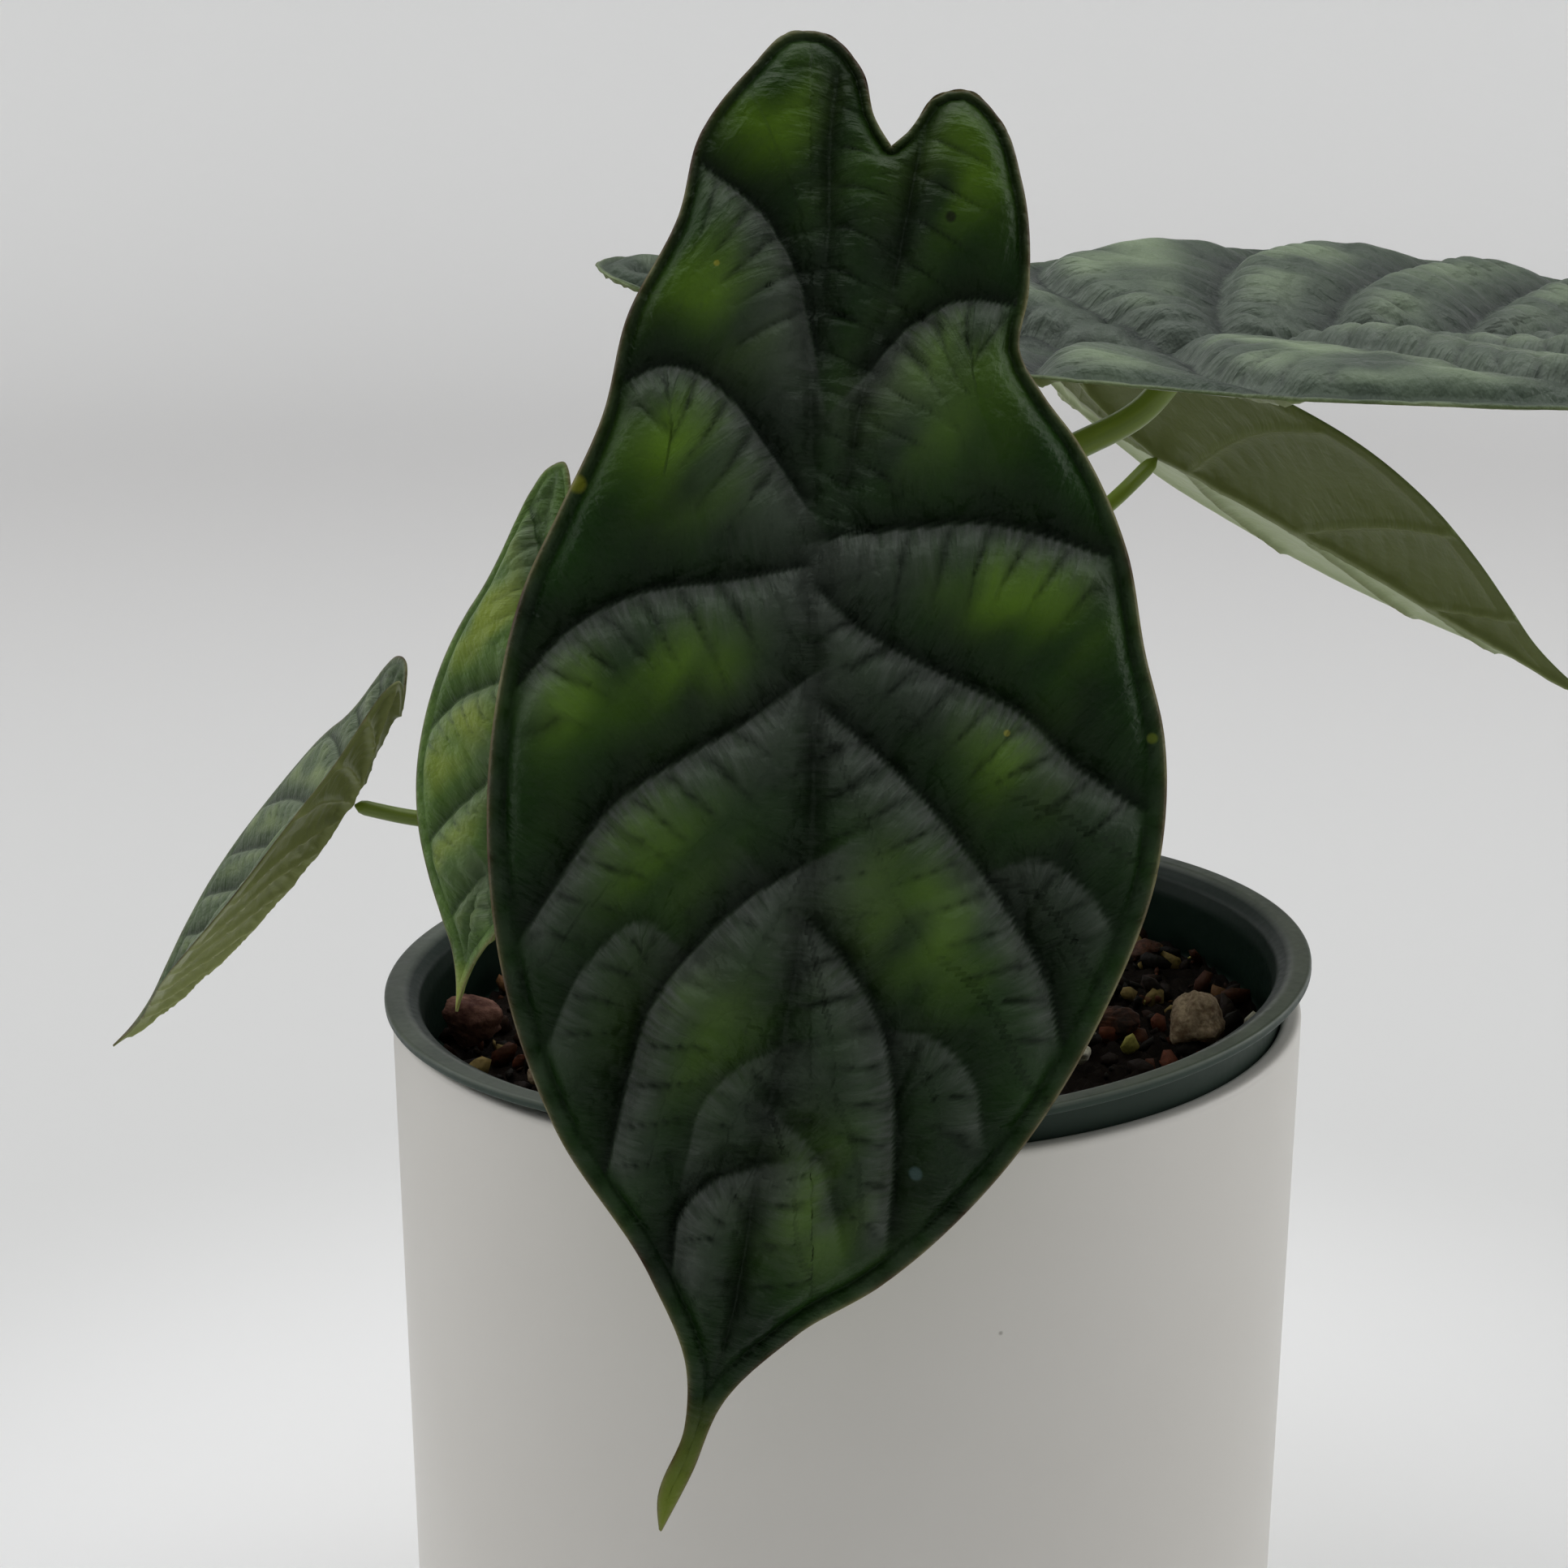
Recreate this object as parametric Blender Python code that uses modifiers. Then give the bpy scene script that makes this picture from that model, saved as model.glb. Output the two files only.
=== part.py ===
"""Potted alocasia: a young plant with five quilted leaves in a plastic nursery pot,
which rests by its lip in a plain ceramic cachepot. Metres, +Z up, the origin at the
centre of the cachepot's flat foot, the front leaf towards -Y."""

import math

import bmesh
import bpy
import numpy as np
from mathutils import Euler, Matrix, Vector

# ---------------------------------------------------------------- driving dimensions
CLEARANCE = 0.0003

CACHEPOT_RADIUS = 0.0625
CACHEPOT_HEIGHT = 0.120
CACHEPOT_TAPER = 0.0013  # what the radius loses from the rim to the foot
CACHEPOT_WALL = 0.0026
CACHEPOT_FLOOR = 0.005
CACHEPOT_EDGE = 0.0012  # rounding of the rim and of the foot

LIP_OVERHANG = 0.0010  # how far the nursery pot's lip stands out past the ceramic
LIP_WIDTH = 0.0024
LIP_THICKNESS = 0.0013
COLLAR_PLAY = 0.0001  # slack left between the leaning collar and the ceramic wall
COLLAR_HEIGHT = 0.012
COLLAR_STEP = 0.0009  # the inward step under the collar
NURSERY_WALL = 0.0011
RESERVOIR_DEPTH = 0.009  # what the nursery pot is shorter than the cachepot is deep
NURSERY_TAPER = 0.013
NURSERY_TILT = math.radians(2.7)
DRAIN_RADIUS = 0.0050
DRAIN_CIRCLE = 0.030
DRAIN_COUNT = 6

SOIL_DROP = 0.0110  # from the lip's top down to the mix
SOIL_CROWN = 0.0030  # how much higher the mix stands at the stem
CORM_RADIUS = 0.0115
CORM_RISE = 0.0070
CORM_DEPTH = 0.018

BLADE_THICKNESS = 0.0010
BLADE_ROWS = 19
BLADE_COLUMNS = 5  # on each side of the midrib
ROW_CROWDING = 1.3  # above 1, the rows stand closer together round the lobes

# ---------------------------------------------------------------- values worked out
RIM_Z = CACHEPOT_HEIGHT
BORE_RADIUS = CACHEPOT_RADIUS - CACHEPOT_WALL
LIP_RADIUS = CACHEPOT_RADIUS + LIP_OVERHANG
# The collar's lower edge swings out as the pot leans, so its radius leaves room for that.
COLLAR_RADIUS = (
    BORE_RADIUS - COLLAR_PLAY - COLLAR_HEIGHT * math.sin(NURSERY_TILT)
) / math.cos(NURSERY_TILT)
BODY_RADIUS = COLLAR_RADIUS - COLLAR_STEP
BASE_RADIUS = BODY_RADIUS - NURSERY_TAPER
NURSERY_HEIGHT = CACHEPOT_HEIGHT - CACHEPOT_FLOOR - RESERVOIR_DEPTH
# The tilted lip touches the ceramic rim only at -X, so its centre is this much higher.
SEAT_Z = RIM_Z + LIP_THICKNESS + CLEARANCE + LIP_RADIUS * math.tan(NURSERY_TILT)
MIX_RADIUS = BODY_RADIUS - NURSERY_WALL - CLEARANCE


# ---------------------------------------------------------------- scene and helpers
for old in list(bpy.data.objects):
    bpy.data.objects.remove(old)

plant = bpy.data.collections.new("potted_alocasia")
cutters = bpy.data.collections.new("cutters")
cutters.hide_render = True
bpy.context.scene.collection.children.link(plant)
bpy.context.scene.collection.children.link(cutters)


def material(name, colour, roughness, metallic=0.0):
    made = bpy.data.materials.new(name)
    made.use_nodes = True
    shader = made.node_tree.nodes["Principled BSDF"]
    shader.inputs["Base Color"].default_value = (*colour, 1.0)
    shader.inputs["Roughness"].default_value = roughness
    shader.inputs["Metallic"].default_value = metallic
    return made


def add(name, data, finish=None, where=plant):
    """A new object in its collection, on its own material."""
    made = bpy.data.objects.new(name, data)
    where.objects.link(made)
    if finish is not None:
        data.materials.append(finish)
    return made


def cutter(name, data):
    made = add(name, data, where=cutters)
    made.hide_render = True
    made.display_type = "WIRE"
    return made


def cut(piece, tool):
    step = piece.modifiers.new("cut_" + tool.name, "BOOLEAN")
    step.operation = "DIFFERENCE"
    step.object = tool


def turned(name, profile, steps, finish, parent=None):
    """A piece whose (radius, height) profile, listed down its outer side, is spun about Z."""
    data = bpy.data.meshes.new(name)
    points = [(radius, 0.0, height) for radius, height in profile]
    data.from_pydata(points, [(i, i + 1) for i in range(len(points) - 1)], [])
    piece = add(name, data, finish)
    piece.parent = parent
    screw = piece.modifiers.new("spin", "SCREW")
    screw.axis = "Z"
    screw.steps = steps
    screw.render_steps = steps
    screw.use_merge_vertices = True
    screw.merge_threshold = 0.00001
    screw.use_smooth_shade = True
    return piece


def corner(centre, radius, start, end, count=3):
    """Points on an arc about centre, by angle in degrees."""
    angles = [math.radians(start + (end - start) * i / count) for i in range(count + 1)]
    return [(centre[0] + radius * math.cos(a), centre[1] + radius * math.sin(a)) for a in angles]


def smooth_line(points, share):
    """The smooth curve through the points, at shares 0 to 1 of the chord length: a cubic
    in each span, whose slopes are the gradients of the points along the chords."""
    points = np.array(points, float)
    along = np.concatenate([[0], np.cumsum(np.linalg.norm(np.diff(points, axis=0), axis=1))])
    slope = np.gradient(points, along, axis=0)
    at = np.clip(share, 0, 1) * along[-1]
    span = np.clip(np.searchsorted(along, at, side="right") - 1, 0, len(points) - 2)
    gap = (along[span + 1] - along[span])[:, None]
    t = (at - along[span])[:, None] / gap
    here, there = points[span], points[span + 1]
    start, end = slope[span] * gap, slope[span + 1] * gap
    return (
        (2 * t**3 - 3 * t**2 + 1) * here
        + (t**3 - 2 * t**2 + t) * start
        + (3 * t**2 - 2 * t**3) * there
        + (t**3 - t**2) * end
    )


# ---------------------------------------------------------------- cachepot
# A white ceramic cylinder, thrown or cast in one piece, open at the top, with a flat
# foot. Its wall narrows a little towards the foot.
def wall_radius(height):
    """The ceramic's outer radius at a height above the foot."""
    return CACHEPOT_RADIUS - CACHEPOT_TAPER * (1 - height / CACHEPOT_HEIGHT)


edge = CACHEPOT_EDGE
foot = wall_radius(0)
cachepot_profile = (
    [(CACHEPOT_RADIUS - CACHEPOT_WALL / 2, RIM_Z)]
    + corner((CACHEPOT_RADIUS - edge, RIM_Z - edge), edge, 70, 0, 2)
    + [(wall_radius(CACHEPOT_HEIGHT / 2), CACHEPOT_HEIGHT / 2)]
    + corner((foot - edge, edge), edge, 0, -90, 2)
    + [(0.0, 0.0)]
)
bore_foot = foot - CACHEPOT_WALL
cachepot_profile += (
    [(0.0, CACHEPOT_FLOOR)]
    + corner((bore_foot - 3 * edge, CACHEPOT_FLOOR + 3 * edge), 3 * edge, -90, 0, 2)
    + corner((BORE_RADIUS + edge, RIM_Z - edge), edge, 180, 110, 2)
)
white_glaze = material("glazed_ceramic_white", (0.78, 0.76, 0.72), 0.45)
turned("cachepot", cachepot_profile + cachepot_profile[:1], 48, white_glaze)

# ---------------------------------------------------------------- nursery pot
# A thin moulded pot that hangs by its lip on the ceramic rim and leans, its lip higher at
# +X. The seat is its frame: the origin at the middle of the lip's top.
seat = bpy.data.objects.new("nursery_seat", None)
plant.objects.link(seat)
seat.location = (0, 0, SEAT_Z)
seat.rotation_euler = (0, -NURSERY_TILT, 0)

lip_bottom = -LIP_THICKNESS
outer_base = -NURSERY_HEIGHT
nursery_profile = [
    (LIP_RADIUS - LIP_WIDTH, 0.0),
    (LIP_RADIUS - LIP_THICKNESS / 3, -LIP_THICKNESS / 6),
    (LIP_RADIUS, -LIP_THICKNESS / 2),
    (LIP_RADIUS - LIP_THICKNESS / 3, lip_bottom),
    (COLLAR_RADIUS + LIP_THICKNESS / 4, lip_bottom),
    (COLLAR_RADIUS, lip_bottom - LIP_THICKNESS / 4),
    (COLLAR_RADIUS, -COLLAR_HEIGHT),
    (BODY_RADIUS, -COLLAR_HEIGHT - COLLAR_STEP),
    (BASE_RADIUS + 0.002, outer_base + 0.002),
    (BASE_RADIUS - 0.001, outer_base),
    (0.0, outer_base),
    (0.0, outer_base + NURSERY_WALL),
    (BASE_RADIUS - 0.001 - NURSERY_WALL / 2, outer_base + NURSERY_WALL),
    (BASE_RADIUS + 0.002 - NURSERY_WALL, outer_base + 0.002 + NURSERY_WALL / 2),
    (BODY_RADIUS - NURSERY_WALL, -COLLAR_HEIGHT - COLLAR_STEP),
    (COLLAR_RADIUS - NURSERY_WALL, -COLLAR_HEIGHT + COLLAR_STEP / 2),
    (COLLAR_RADIUS - NURSERY_WALL, -LIP_THICKNESS),
    (LIP_RADIUS - LIP_WIDTH, 0.0),
]
dark_plastic = material("polypropylene_dark_green", (0.03, 0.05, 0.035), 0.5)
nursery_pot = turned("nursery_pot", nursery_profile, 48, dark_plastic, seat)

drains = bpy.data.meshes.new("drains")
holes = bmesh.new()
for i in range(DRAIN_COUNT):
    turn = 2 * math.pi * i / DRAIN_COUNT
    spot = Matrix.Translation((DRAIN_CIRCLE * math.cos(turn), DRAIN_CIRCLE * math.sin(turn), outer_base))
    bmesh.ops.create_cone(
        holes, cap_ends=True, segments=10, radius1=DRAIN_RADIUS, radius2=DRAIN_RADIUS,
        depth=8 * NURSERY_WALL, matrix=spot,
    )
holes.to_mesh(drains)
holes.free()
drain_cutter = cutter("drain_holes", drains)
drain_cutter.parent = seat
cut(nursery_pot, drain_cutter)

# ---------------------------------------------------------------- potting mix and corm
# A chunky bark mix fills the pot to below its lip, a little higher round the stem, and is
# hollowed where the corm sits.
mix_top = -SOIL_DROP
mix_base = outer_base + NURSERY_WALL + CLEARANCE


def nursery_bore(height):
    """The radius of the nursery pot's inside below its collar, at a height in its frame."""
    top, low = -COLLAR_HEIGHT - COLLAR_STEP, outer_base + 0.002
    share = (top - height) / (top - low)
    return MIX_RADIUS - (BODY_RADIUS - BASE_RADIUS - 0.002) * share


def mix_height(radius):
    """The height of the mix's surface in the pot's frame, a shallow dome."""
    return mix_top + SOIL_CROWN * (1 - (radius / MIX_RADIUS) ** 2)


shoulder = min(mix_top, -COLLAR_HEIGHT - COLLAR_STEP)
mix_profile = [(0.0, mix_height(0))]
mix_profile += [(MIX_RADIUS * share, mix_height(MIX_RADIUS * share)) for share in (0.35, 0.7)]
mix_profile += [
    (nursery_bore(shoulder) - CLEARANCE, shoulder),
    (nursery_bore(mix_base + 0.004) - CLEARANCE, mix_base + 0.004),
    (nursery_bore(mix_base) - 0.003, mix_base),
    (0.0, mix_base),
]
dark_mix = material("bark_potting_mix", (0.03, 0.02, 0.015), 0.95)
potting_mix = turned("potting_mix", mix_profile, 40, dark_mix, seat)

corm_top = mix_height(0) + CORM_RISE
corm_profile = (
    [(0.0, corm_top), (0.8 * CORM_RADIUS, corm_top)]
    + corner((0.8 * CORM_RADIUS, corm_top - 0.2 * CORM_RADIUS), 0.2 * CORM_RADIUS, 60, 0, 2)
    + [
        (CORM_RADIUS, mix_height(0) - CORM_DEPTH / 2),
        (0.6 * CORM_RADIUS, mix_height(0) - CORM_DEPTH),
        (0.0, mix_height(0) - CORM_DEPTH),
    ]
)
turned("corm", corm_profile, 20, material("corm_skin_brown", (0.16, 0.10, 0.05), 0.8), seat)

pocket = bpy.data.meshes.new("corm_pocket")
hollow = bmesh.new()
pocket_floor = mix_height(0) - CORM_DEPTH - 2 * CLEARANCE
bmesh.ops.create_cone(
    hollow, cap_ends=True, segments=20, radius1=CORM_RADIUS + 2 * CLEARANCE,
    radius2=CORM_RADIUS + 2 * CLEARANCE, depth=corm_top - pocket_floor,
    matrix=Matrix.Translation((0, 0, (corm_top + pocket_floor) / 2)),
)
hollow.to_mesh(pocket)
hollow.free()
pocket_cutter = cutter("corm_pocket", pocket)
pocket_cutter.parent = seat
cut(potting_mix, pocket_cutter)

# ---------------------------------------------------------------- chips on the mix
# Loose pieces that lie on the surface: (name, material, radius from the stem as a share of
# the mix, bearing in degrees, size in mm, turn in degrees).
finishes = {
    "bark": material("pine_bark", (0.10, 0.05, 0.03), 0.9),
    "stone": material("pink_lava_stone", (0.16, 0.10, 0.09), 0.85),
    "husk": material("coconut_husk_tan", (0.20, 0.15, 0.08), 0.9),
    "perlite": material("perlite_white", (0.55, 0.54, 0.48), 0.9),
}
CHIPS = (
    ("lava_stone_left", "stone", 0.98, 184, (7.5, 6.0, 8.0), 20),
    ("bark_chunk_right", "husk", 0.95, -21, (9.0, 6.5, 7.0), 35),
    ("bark_chip_back", "bark", 0.92, 26, (8.0, 4.5, 3.0), 70),
    ("bark_chip_front_right", "bark", 0.70, -18, (7.0, 4.0, 3.0), -20),
    ("bark_chip_front_left", "husk", 0.84, 207, (7.0, 4.5, 3.5), 60),
    ("bark_chip_left", "bark", 0.60, 150, (9.0, 4.5, 3.0), 10),
    ("bark_chip_far", "bark", 0.74, 82, (8.0, 5.0, 3.5), 40),
    ("bark_chip_near", "bark", 0.72, -100, (9.0, 5.5, 3.5), -35),
    ("husk_chip_back_left", "husk", 0.80, 140, (7.5, 3.5, 3.0), -60),
    ("husk_chip_inner", "husk", 0.55, 14, (8.0, 3.0, 3.0), 5),
    ("perlite_front_right", "perlite", 0.68, -38, (4.0, 3.5, 3.5), 0),
    ("perlite_left", "perlite", 0.70, 192, (3.5, 3.0, 3.0), 30),
    ("perlite_back", "perlite", 0.62, 56, (3.5, 3.5, 3.0), 15),
    ("perlite_near_left", "perlite", 0.78, 240, (4.0, 3.0, 3.0), 45),
)


def chip_mesh(name, size, number):
    """A broken lump: a coarse ball, squared up, with its corners moved by a fixed rule."""
    data = bpy.data.meshes.new(name)
    lump = bmesh.new()
    bmesh.ops.create_icosphere(lump, subdivisions=1, radius=0.5)
    for vertex in lump.verts:
        rule = 1 + 0.16 * math.sin(7.3 * vertex.index + 2.9 * number)
        square = 0.5 / max(abs(c) for c in vertex.co)
        vertex.co *= (0.55 + 0.45 * square) * rule
        vertex.co = Vector(c * s / 1000 for c, s in zip(vertex.co, size))
    lump.to_mesh(data)
    lump.free()
    return data


for number, (name, kind, reach, bearing, size, turn) in enumerate(CHIPS):
    chip = add(name, chip_mesh(name, size, number), finishes[kind])
    spin_z = Matrix.Rotation(math.radians(turn), 4, "Z")
    low = min((spin_z @ v.co).z for v in chip.data.vertices)
    wide = max(v.co.xy.length for v in chip.data.vertices)
    radius = reach * (MIX_RADIUS - wide)
    chip.parent = seat
    chip.rotation_euler = (0, 0, math.radians(turn))
    rest = mix_height(max(radius - wide, 0)) + CLEARANCE - low
    chip.location = (
        radius * math.cos(math.radians(bearing)), radius * math.sin(math.radians(bearing)), rest,
    )

# ---------------------------------------------------------------- leaf outlines
# A blade is drawn flat in millimetres about the point where its stalk joins: first the
# distance to the blade's right, then the distance towards the tip. Each margin runs from
# the bottom of the notch over a lobe to the tip, and the middle line from notch to tip.
FRONT_LEFT = (
    (9.0, -45.5), (7.3, -48.5), (5.8, -54.5), (1.3, -59.2), (-2.0, -59.3), (-7.0, -54.5),
    (-12.5, -46.5), (-14.7, -37.5), (-20.5, -25.5), (-23.0, -15.0), (-28.0, -4.0),
    (-31.5, 3.5), (-34.5, 15.0), (-35.8, 33.0), (-33.5, 50.0), (-28.5, 64.0), (-18.0, 81.0),
    (-14.0, 92.0), (-14.3, 98.5), (-17.4, 107.0), (-17.2, 111.3),
)
FRONT_RIGHT = (
    (9.0, -45.5), (11.0, -47.2), (14.0, -51.2), (17.5, -51.8), (21.0, -48.5), (23.5, -41.0),
    (24.1, -28.6), (23.1, -21.8), (25.5, -17.3), (29.5, -11.8), (34.8, 0.0), (36.8, 11.0),
    (39.0, 20.5), (38.5, 34.5), (32.5, 51.0), (20.5, 70.0), (8.0, 82.0), (-2.0, 88.3),
    (-10.0, 95.8), (-13.5, 104.0), (-17.2, 111.3),
)
FRONT_MIDDLE = (
    (9.0, -45.5), (7.4, -35.0), (4.6, -20.0), (0.0, 0.0), (0.3, 16.0), (-0.1, 34.0),
    (-2.7, 52.0), (-5.8, 68.7), (-9.5, 88.2), (-13.0, 98.5), (-17.2, 111.3),
)
# The usual blade: shares of the half width, and of the lobe length (up to the notch and
# the lobe tops) or of the body length (down to the tip).
USUAL_MARGIN = (
    (0.0, -0.76), (0.08, -0.87), (0.24, -1.0), (0.38, -0.95), (0.48, -0.81), (0.54, -0.64),
    (0.60, -0.44), (0.69, -0.25), (0.79, -0.11), (0.90, 0.04), (0.965, 0.13), (1.0, 0.26),
    (0.96, 0.40), (0.81, 0.54), (0.57, 0.665), (0.33, 0.765), (0.155, 0.84), (0.06, 0.91),
    (0.0, 1.0),
)
USUAL_MIDDLE = ((0.0, -0.76), (0.0, -0.4), (0.0, 0.0), (0.0, 0.3), (0.0, 0.65), (0.0, 1.0))


def usual_outline(body, lobe, half_width):
    """The left margin, right margin and middle line of a usual blade of these sizes."""
    margin = [(half_width * a, (lobe if s < 0 else body) * s) for a, s in USUAL_MARGIN]
    middle = [(0.0, (lobe if s < 0 else body) * s) for _, s in USUAL_MIDDLE]
    return [(-a, s) for a, s in margin], margin, middle


# For each leaf: its outline, where its stalk joins (x, y, height over the rim), heading,
# pitch below level and roll in degrees, the fold of each half in degrees, the curl of the
# halves and the bend of the body and of the lobes in turns of radians per metre, the
# stalk's foot bearing, its radii in mm at foot and blade, the way it meets the blade, and
# the points between, as (x, y, height over the rim) in metres.
LEAVES = {
    "front": {
        "outline": (FRONT_LEFT, FRONT_RIGHT, FRONT_MIDDLE),
        "joins": (-0.0055, -(LIP_RADIUS + 0.0005), 0.073),
        "pose": (-90, 75, 0),
        "form": (6, 4.0, 1.5, 3.5),
        "stalk": (-95, 3.0, 1.8, (0.0, -0.97, 0.24)),
        "between": ((-0.0020, -0.0150, 0.030), (-0.0040, -0.0340, 0.060)),
    },
    "small_left": {
        "outline": usual_outline(46.5, 23.5, 16.5),
        "joins": (-0.0396, -0.0309, 0.0547),
        "pose": (-136.9, 71.2, 2.3),
        "form": (8.5, 5.6, 1.5, 5.8),
        "stalk": (-150, 2.3, 1.2, (-0.66, -0.68, 0.33)),
        "between": ((-0.0130, -0.0090, 0.026), (-0.0250, -0.0190, 0.045)),
    },
    "left": {
        "outline": usual_outline(52.5, 21.0, 20.0),
        "joins": (-0.0687, 0.0040, 0.0255),
        "pose": (170.3, 55.4, -12.6),
        "form": (30.3, 16.5, -6.3, -6.8),
        "stalk": (155, 2.4, 1.1, (-0.97, 0.02, 0.22)),
        "between": ((-0.0220, 0.0060, 0.0135), (-0.0420, 0.0060, 0.0205)),
    },
    "right_upper": {
        "outline": usual_outline(140.0, 77.5, 50.7),
        "joins": (0.0436, 0.0041, 0.0874),
        "pose": (16.3, -2.4, 6.4),
        "form": (13.2, 7.0, 2.4, -3.8),
        "stalk": (25, 3.2, 1.9, (0.62, -0.05, 0.78)),
        "between": ((0.0120, 0.0050, 0.037), (0.0270, 0.0060, 0.072)),
    },
    "right_lower": {
        "outline": usual_outline(79.0, 32.0, 28.0),
        "joins": (0.0517, 0.0790, 0.0625),
        "pose": (-23.0, 24.5, -36.0),
        "form": (15.2, 3.6, 0.7, -13.0),
        "stalk": (80, 2.5, 1.25, (0.70, 0.20, 0.68)),
        "between": ((0.0120, 0.0280, 0.026), (0.0320, 0.0560, 0.050)),
    },
}


# ---------------------------------------------------------------- blades
def rolled_frame(heading, pitch, roll):
    """Unit vectors to the blade's right, to its tip and out of its upper face."""
    h, p, r = (math.radians(angle) for angle in (heading, pitch, roll))
    tip = np.array([math.cos(p) * math.cos(h), math.cos(p) * math.sin(h), -math.sin(p)])
    face = np.array([math.sin(p) * math.cos(h), math.sin(p) * math.sin(h), math.cos(p)])
    right = np.cross(face, tip)
    return (
        right * math.cos(r) + face * math.sin(r),
        tip,
        face * math.cos(r) - right * math.sin(r),
    )


def shaped(flat, leaf):
    """Flat points in mm, moved into space in metres: each half folds up from the midrib and
    curls back on an arc, and the midrib bends on one arc below the stalk and one above."""
    right, tip, face = rolled_frame(*leaf["pose"])
    fold, curl, body_bend, lobe_bend = leaf["form"]
    fold = math.radians(fold)
    across, along = flat[:, 0] / 1000, flat[:, 1] / 1000
    angle = fold - curl * np.abs(across)
    out = np.sign(across) * (math.sin(fold) - np.sin(angle)) / curl
    lift = (np.cos(angle) - math.cos(fold)) / curl
    bend = np.where(along > 0, body_bend, lobe_bend)
    turn = bend * along
    reach = np.sin(turn) / bend + lift * np.sin(turn)
    rise = (np.cos(turn) - 1) / bend + lift * np.cos(turn)
    x, y, height = leaf["joins"]
    joins = np.array([x, y, RIM_Z + height])
    return joins + out[:, None] * right + reach[:, None] * tip + rise[:, None] * face


def blade_mesh(name, leaf):
    """An open sheet of rows from notch to tip, each ruled from margin to midrib to margin."""
    shares = np.linspace(0, 1, BLADE_ROWS + 2) ** ROW_CROWDING
    left, right, middle = (smooth_line(line, shares) for line in leaf["outline"])
    steps = np.linspace(0, 1, BLADE_COLUMNS + 1)
    rows = []
    for i in range(1, BLADE_ROWS + 1):
        rows.append([middle[i] + (left[i] - middle[i]) * step for step in steps[:0:-1]])
        rows[-1] += [middle[i] + (right[i] - middle[i]) * step for step in steps]
    width = 2 * BLADE_COLUMNS + 1
    flat = np.array([middle[0], *(point for row in rows for point in row), middle[-1]])
    last = len(flat) - 1
    faces = [(0, i + 1, i + 2) for i in range(width - 1)]
    for row in range(BLADE_ROWS - 1):
        first = 1 + row * width
        faces += [
            (first + i, first + width + i, first + width + i + 1, first + i + 1)
            for i in range(width - 1)
        ]
    first = 1 + (BLADE_ROWS - 1) * width
    faces += [(first + i, last, first + i + 1) for i in range(width - 1)]
    data = bpy.data.meshes.new(name)
    data.from_pydata([tuple(p) for p in shaped(flat, leaf)], [], faces)
    data.shade_smooth()
    return data


blade_green = {
    "front": (0.012, 0.045, 0.012), "small_left": (0.05, 0.10, 0.03),
    "left": (0.05, 0.08, 0.05), "right_upper": (0.04, 0.06, 0.045),
    "right_lower": (0.05, 0.06, 0.02),
}
for name, leaf in LEAVES.items():
    finish = material("leaf_blade_" + name, blade_green[name], 0.4)
    blade = add("blade_" + name, blade_mesh("blade_" + name, leaf), finish)
    wall = blade.modifiers.new("thickness", "SOLIDIFY")
    wall.thickness = BLADE_THICKNESS
    wall.offset = -1

# ---------------------------------------------------------------- leaf stalks
# Each stalk stands on the corm and runs to the underside of its blade, thick and sheathing
# at its foot and slim at the blade.
stalk_circle = 0.66 * CORM_RADIUS
tilt = Euler((0, -NURSERY_TILT, 0)).to_matrix()


def stalk_route(leaf):
    bearing, foot_mm, end_mm, meets = leaf["stalk"]
    meets = np.array(meets) / np.linalg.norm(meets)
    face = rolled_frame(*leaf["pose"])[2]
    lean = math.sqrt(max(0.0, 1 - float(meets @ face) ** 2))
    gap = BLADE_THICKNESS + 1.5 * CLEARANCE + end_mm / 1000 * lean
    x, y, height = leaf["joins"]
    end = np.array([x, y, RIM_Z + height]) - face * gap
    turn = math.radians(bearing)
    local = Vector((stalk_circle * math.cos(turn), stalk_circle * math.sin(turn), corm_top))
    foot = np.array(tilt @ local) + np.array([0, 0, SEAT_Z + 2 * CLEARANCE])
    between = [np.array([px, py, RIM_Z + up]) for px, py, up in leaf["between"]]
    return [foot, foot + [0, 0, 0.004], *between, end - meets * 0.006, end]


for name, leaf in LEAVES.items():
    points = smooth_line(stalk_route(leaf), np.linspace(0, 1, 15))
    data = bpy.data.curves.new("stalk_" + name, "CURVE")
    data.dimensions = "3D"
    data.bevel_depth = 1.0
    data.bevel_resolution = 2
    data.use_fill_caps = True
    line = data.splines.new("POLY")
    line.points.add(len(points) - 1)
    foot_mm, end_mm = leaf["stalk"][1:3]
    for i, point in enumerate(points):
        share = i / (len(points) - 1)
        line.points[i].co = (*point, 1.0)
        line.points[i].radius = (end_mm + (foot_mm - end_mm) * (1 - share) ** 1.6) / 1000
    add("stalk_" + name, data, material("leaf_stalk_" + name, (0.10, 0.15, 0.03), 0.45))
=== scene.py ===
import math

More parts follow.
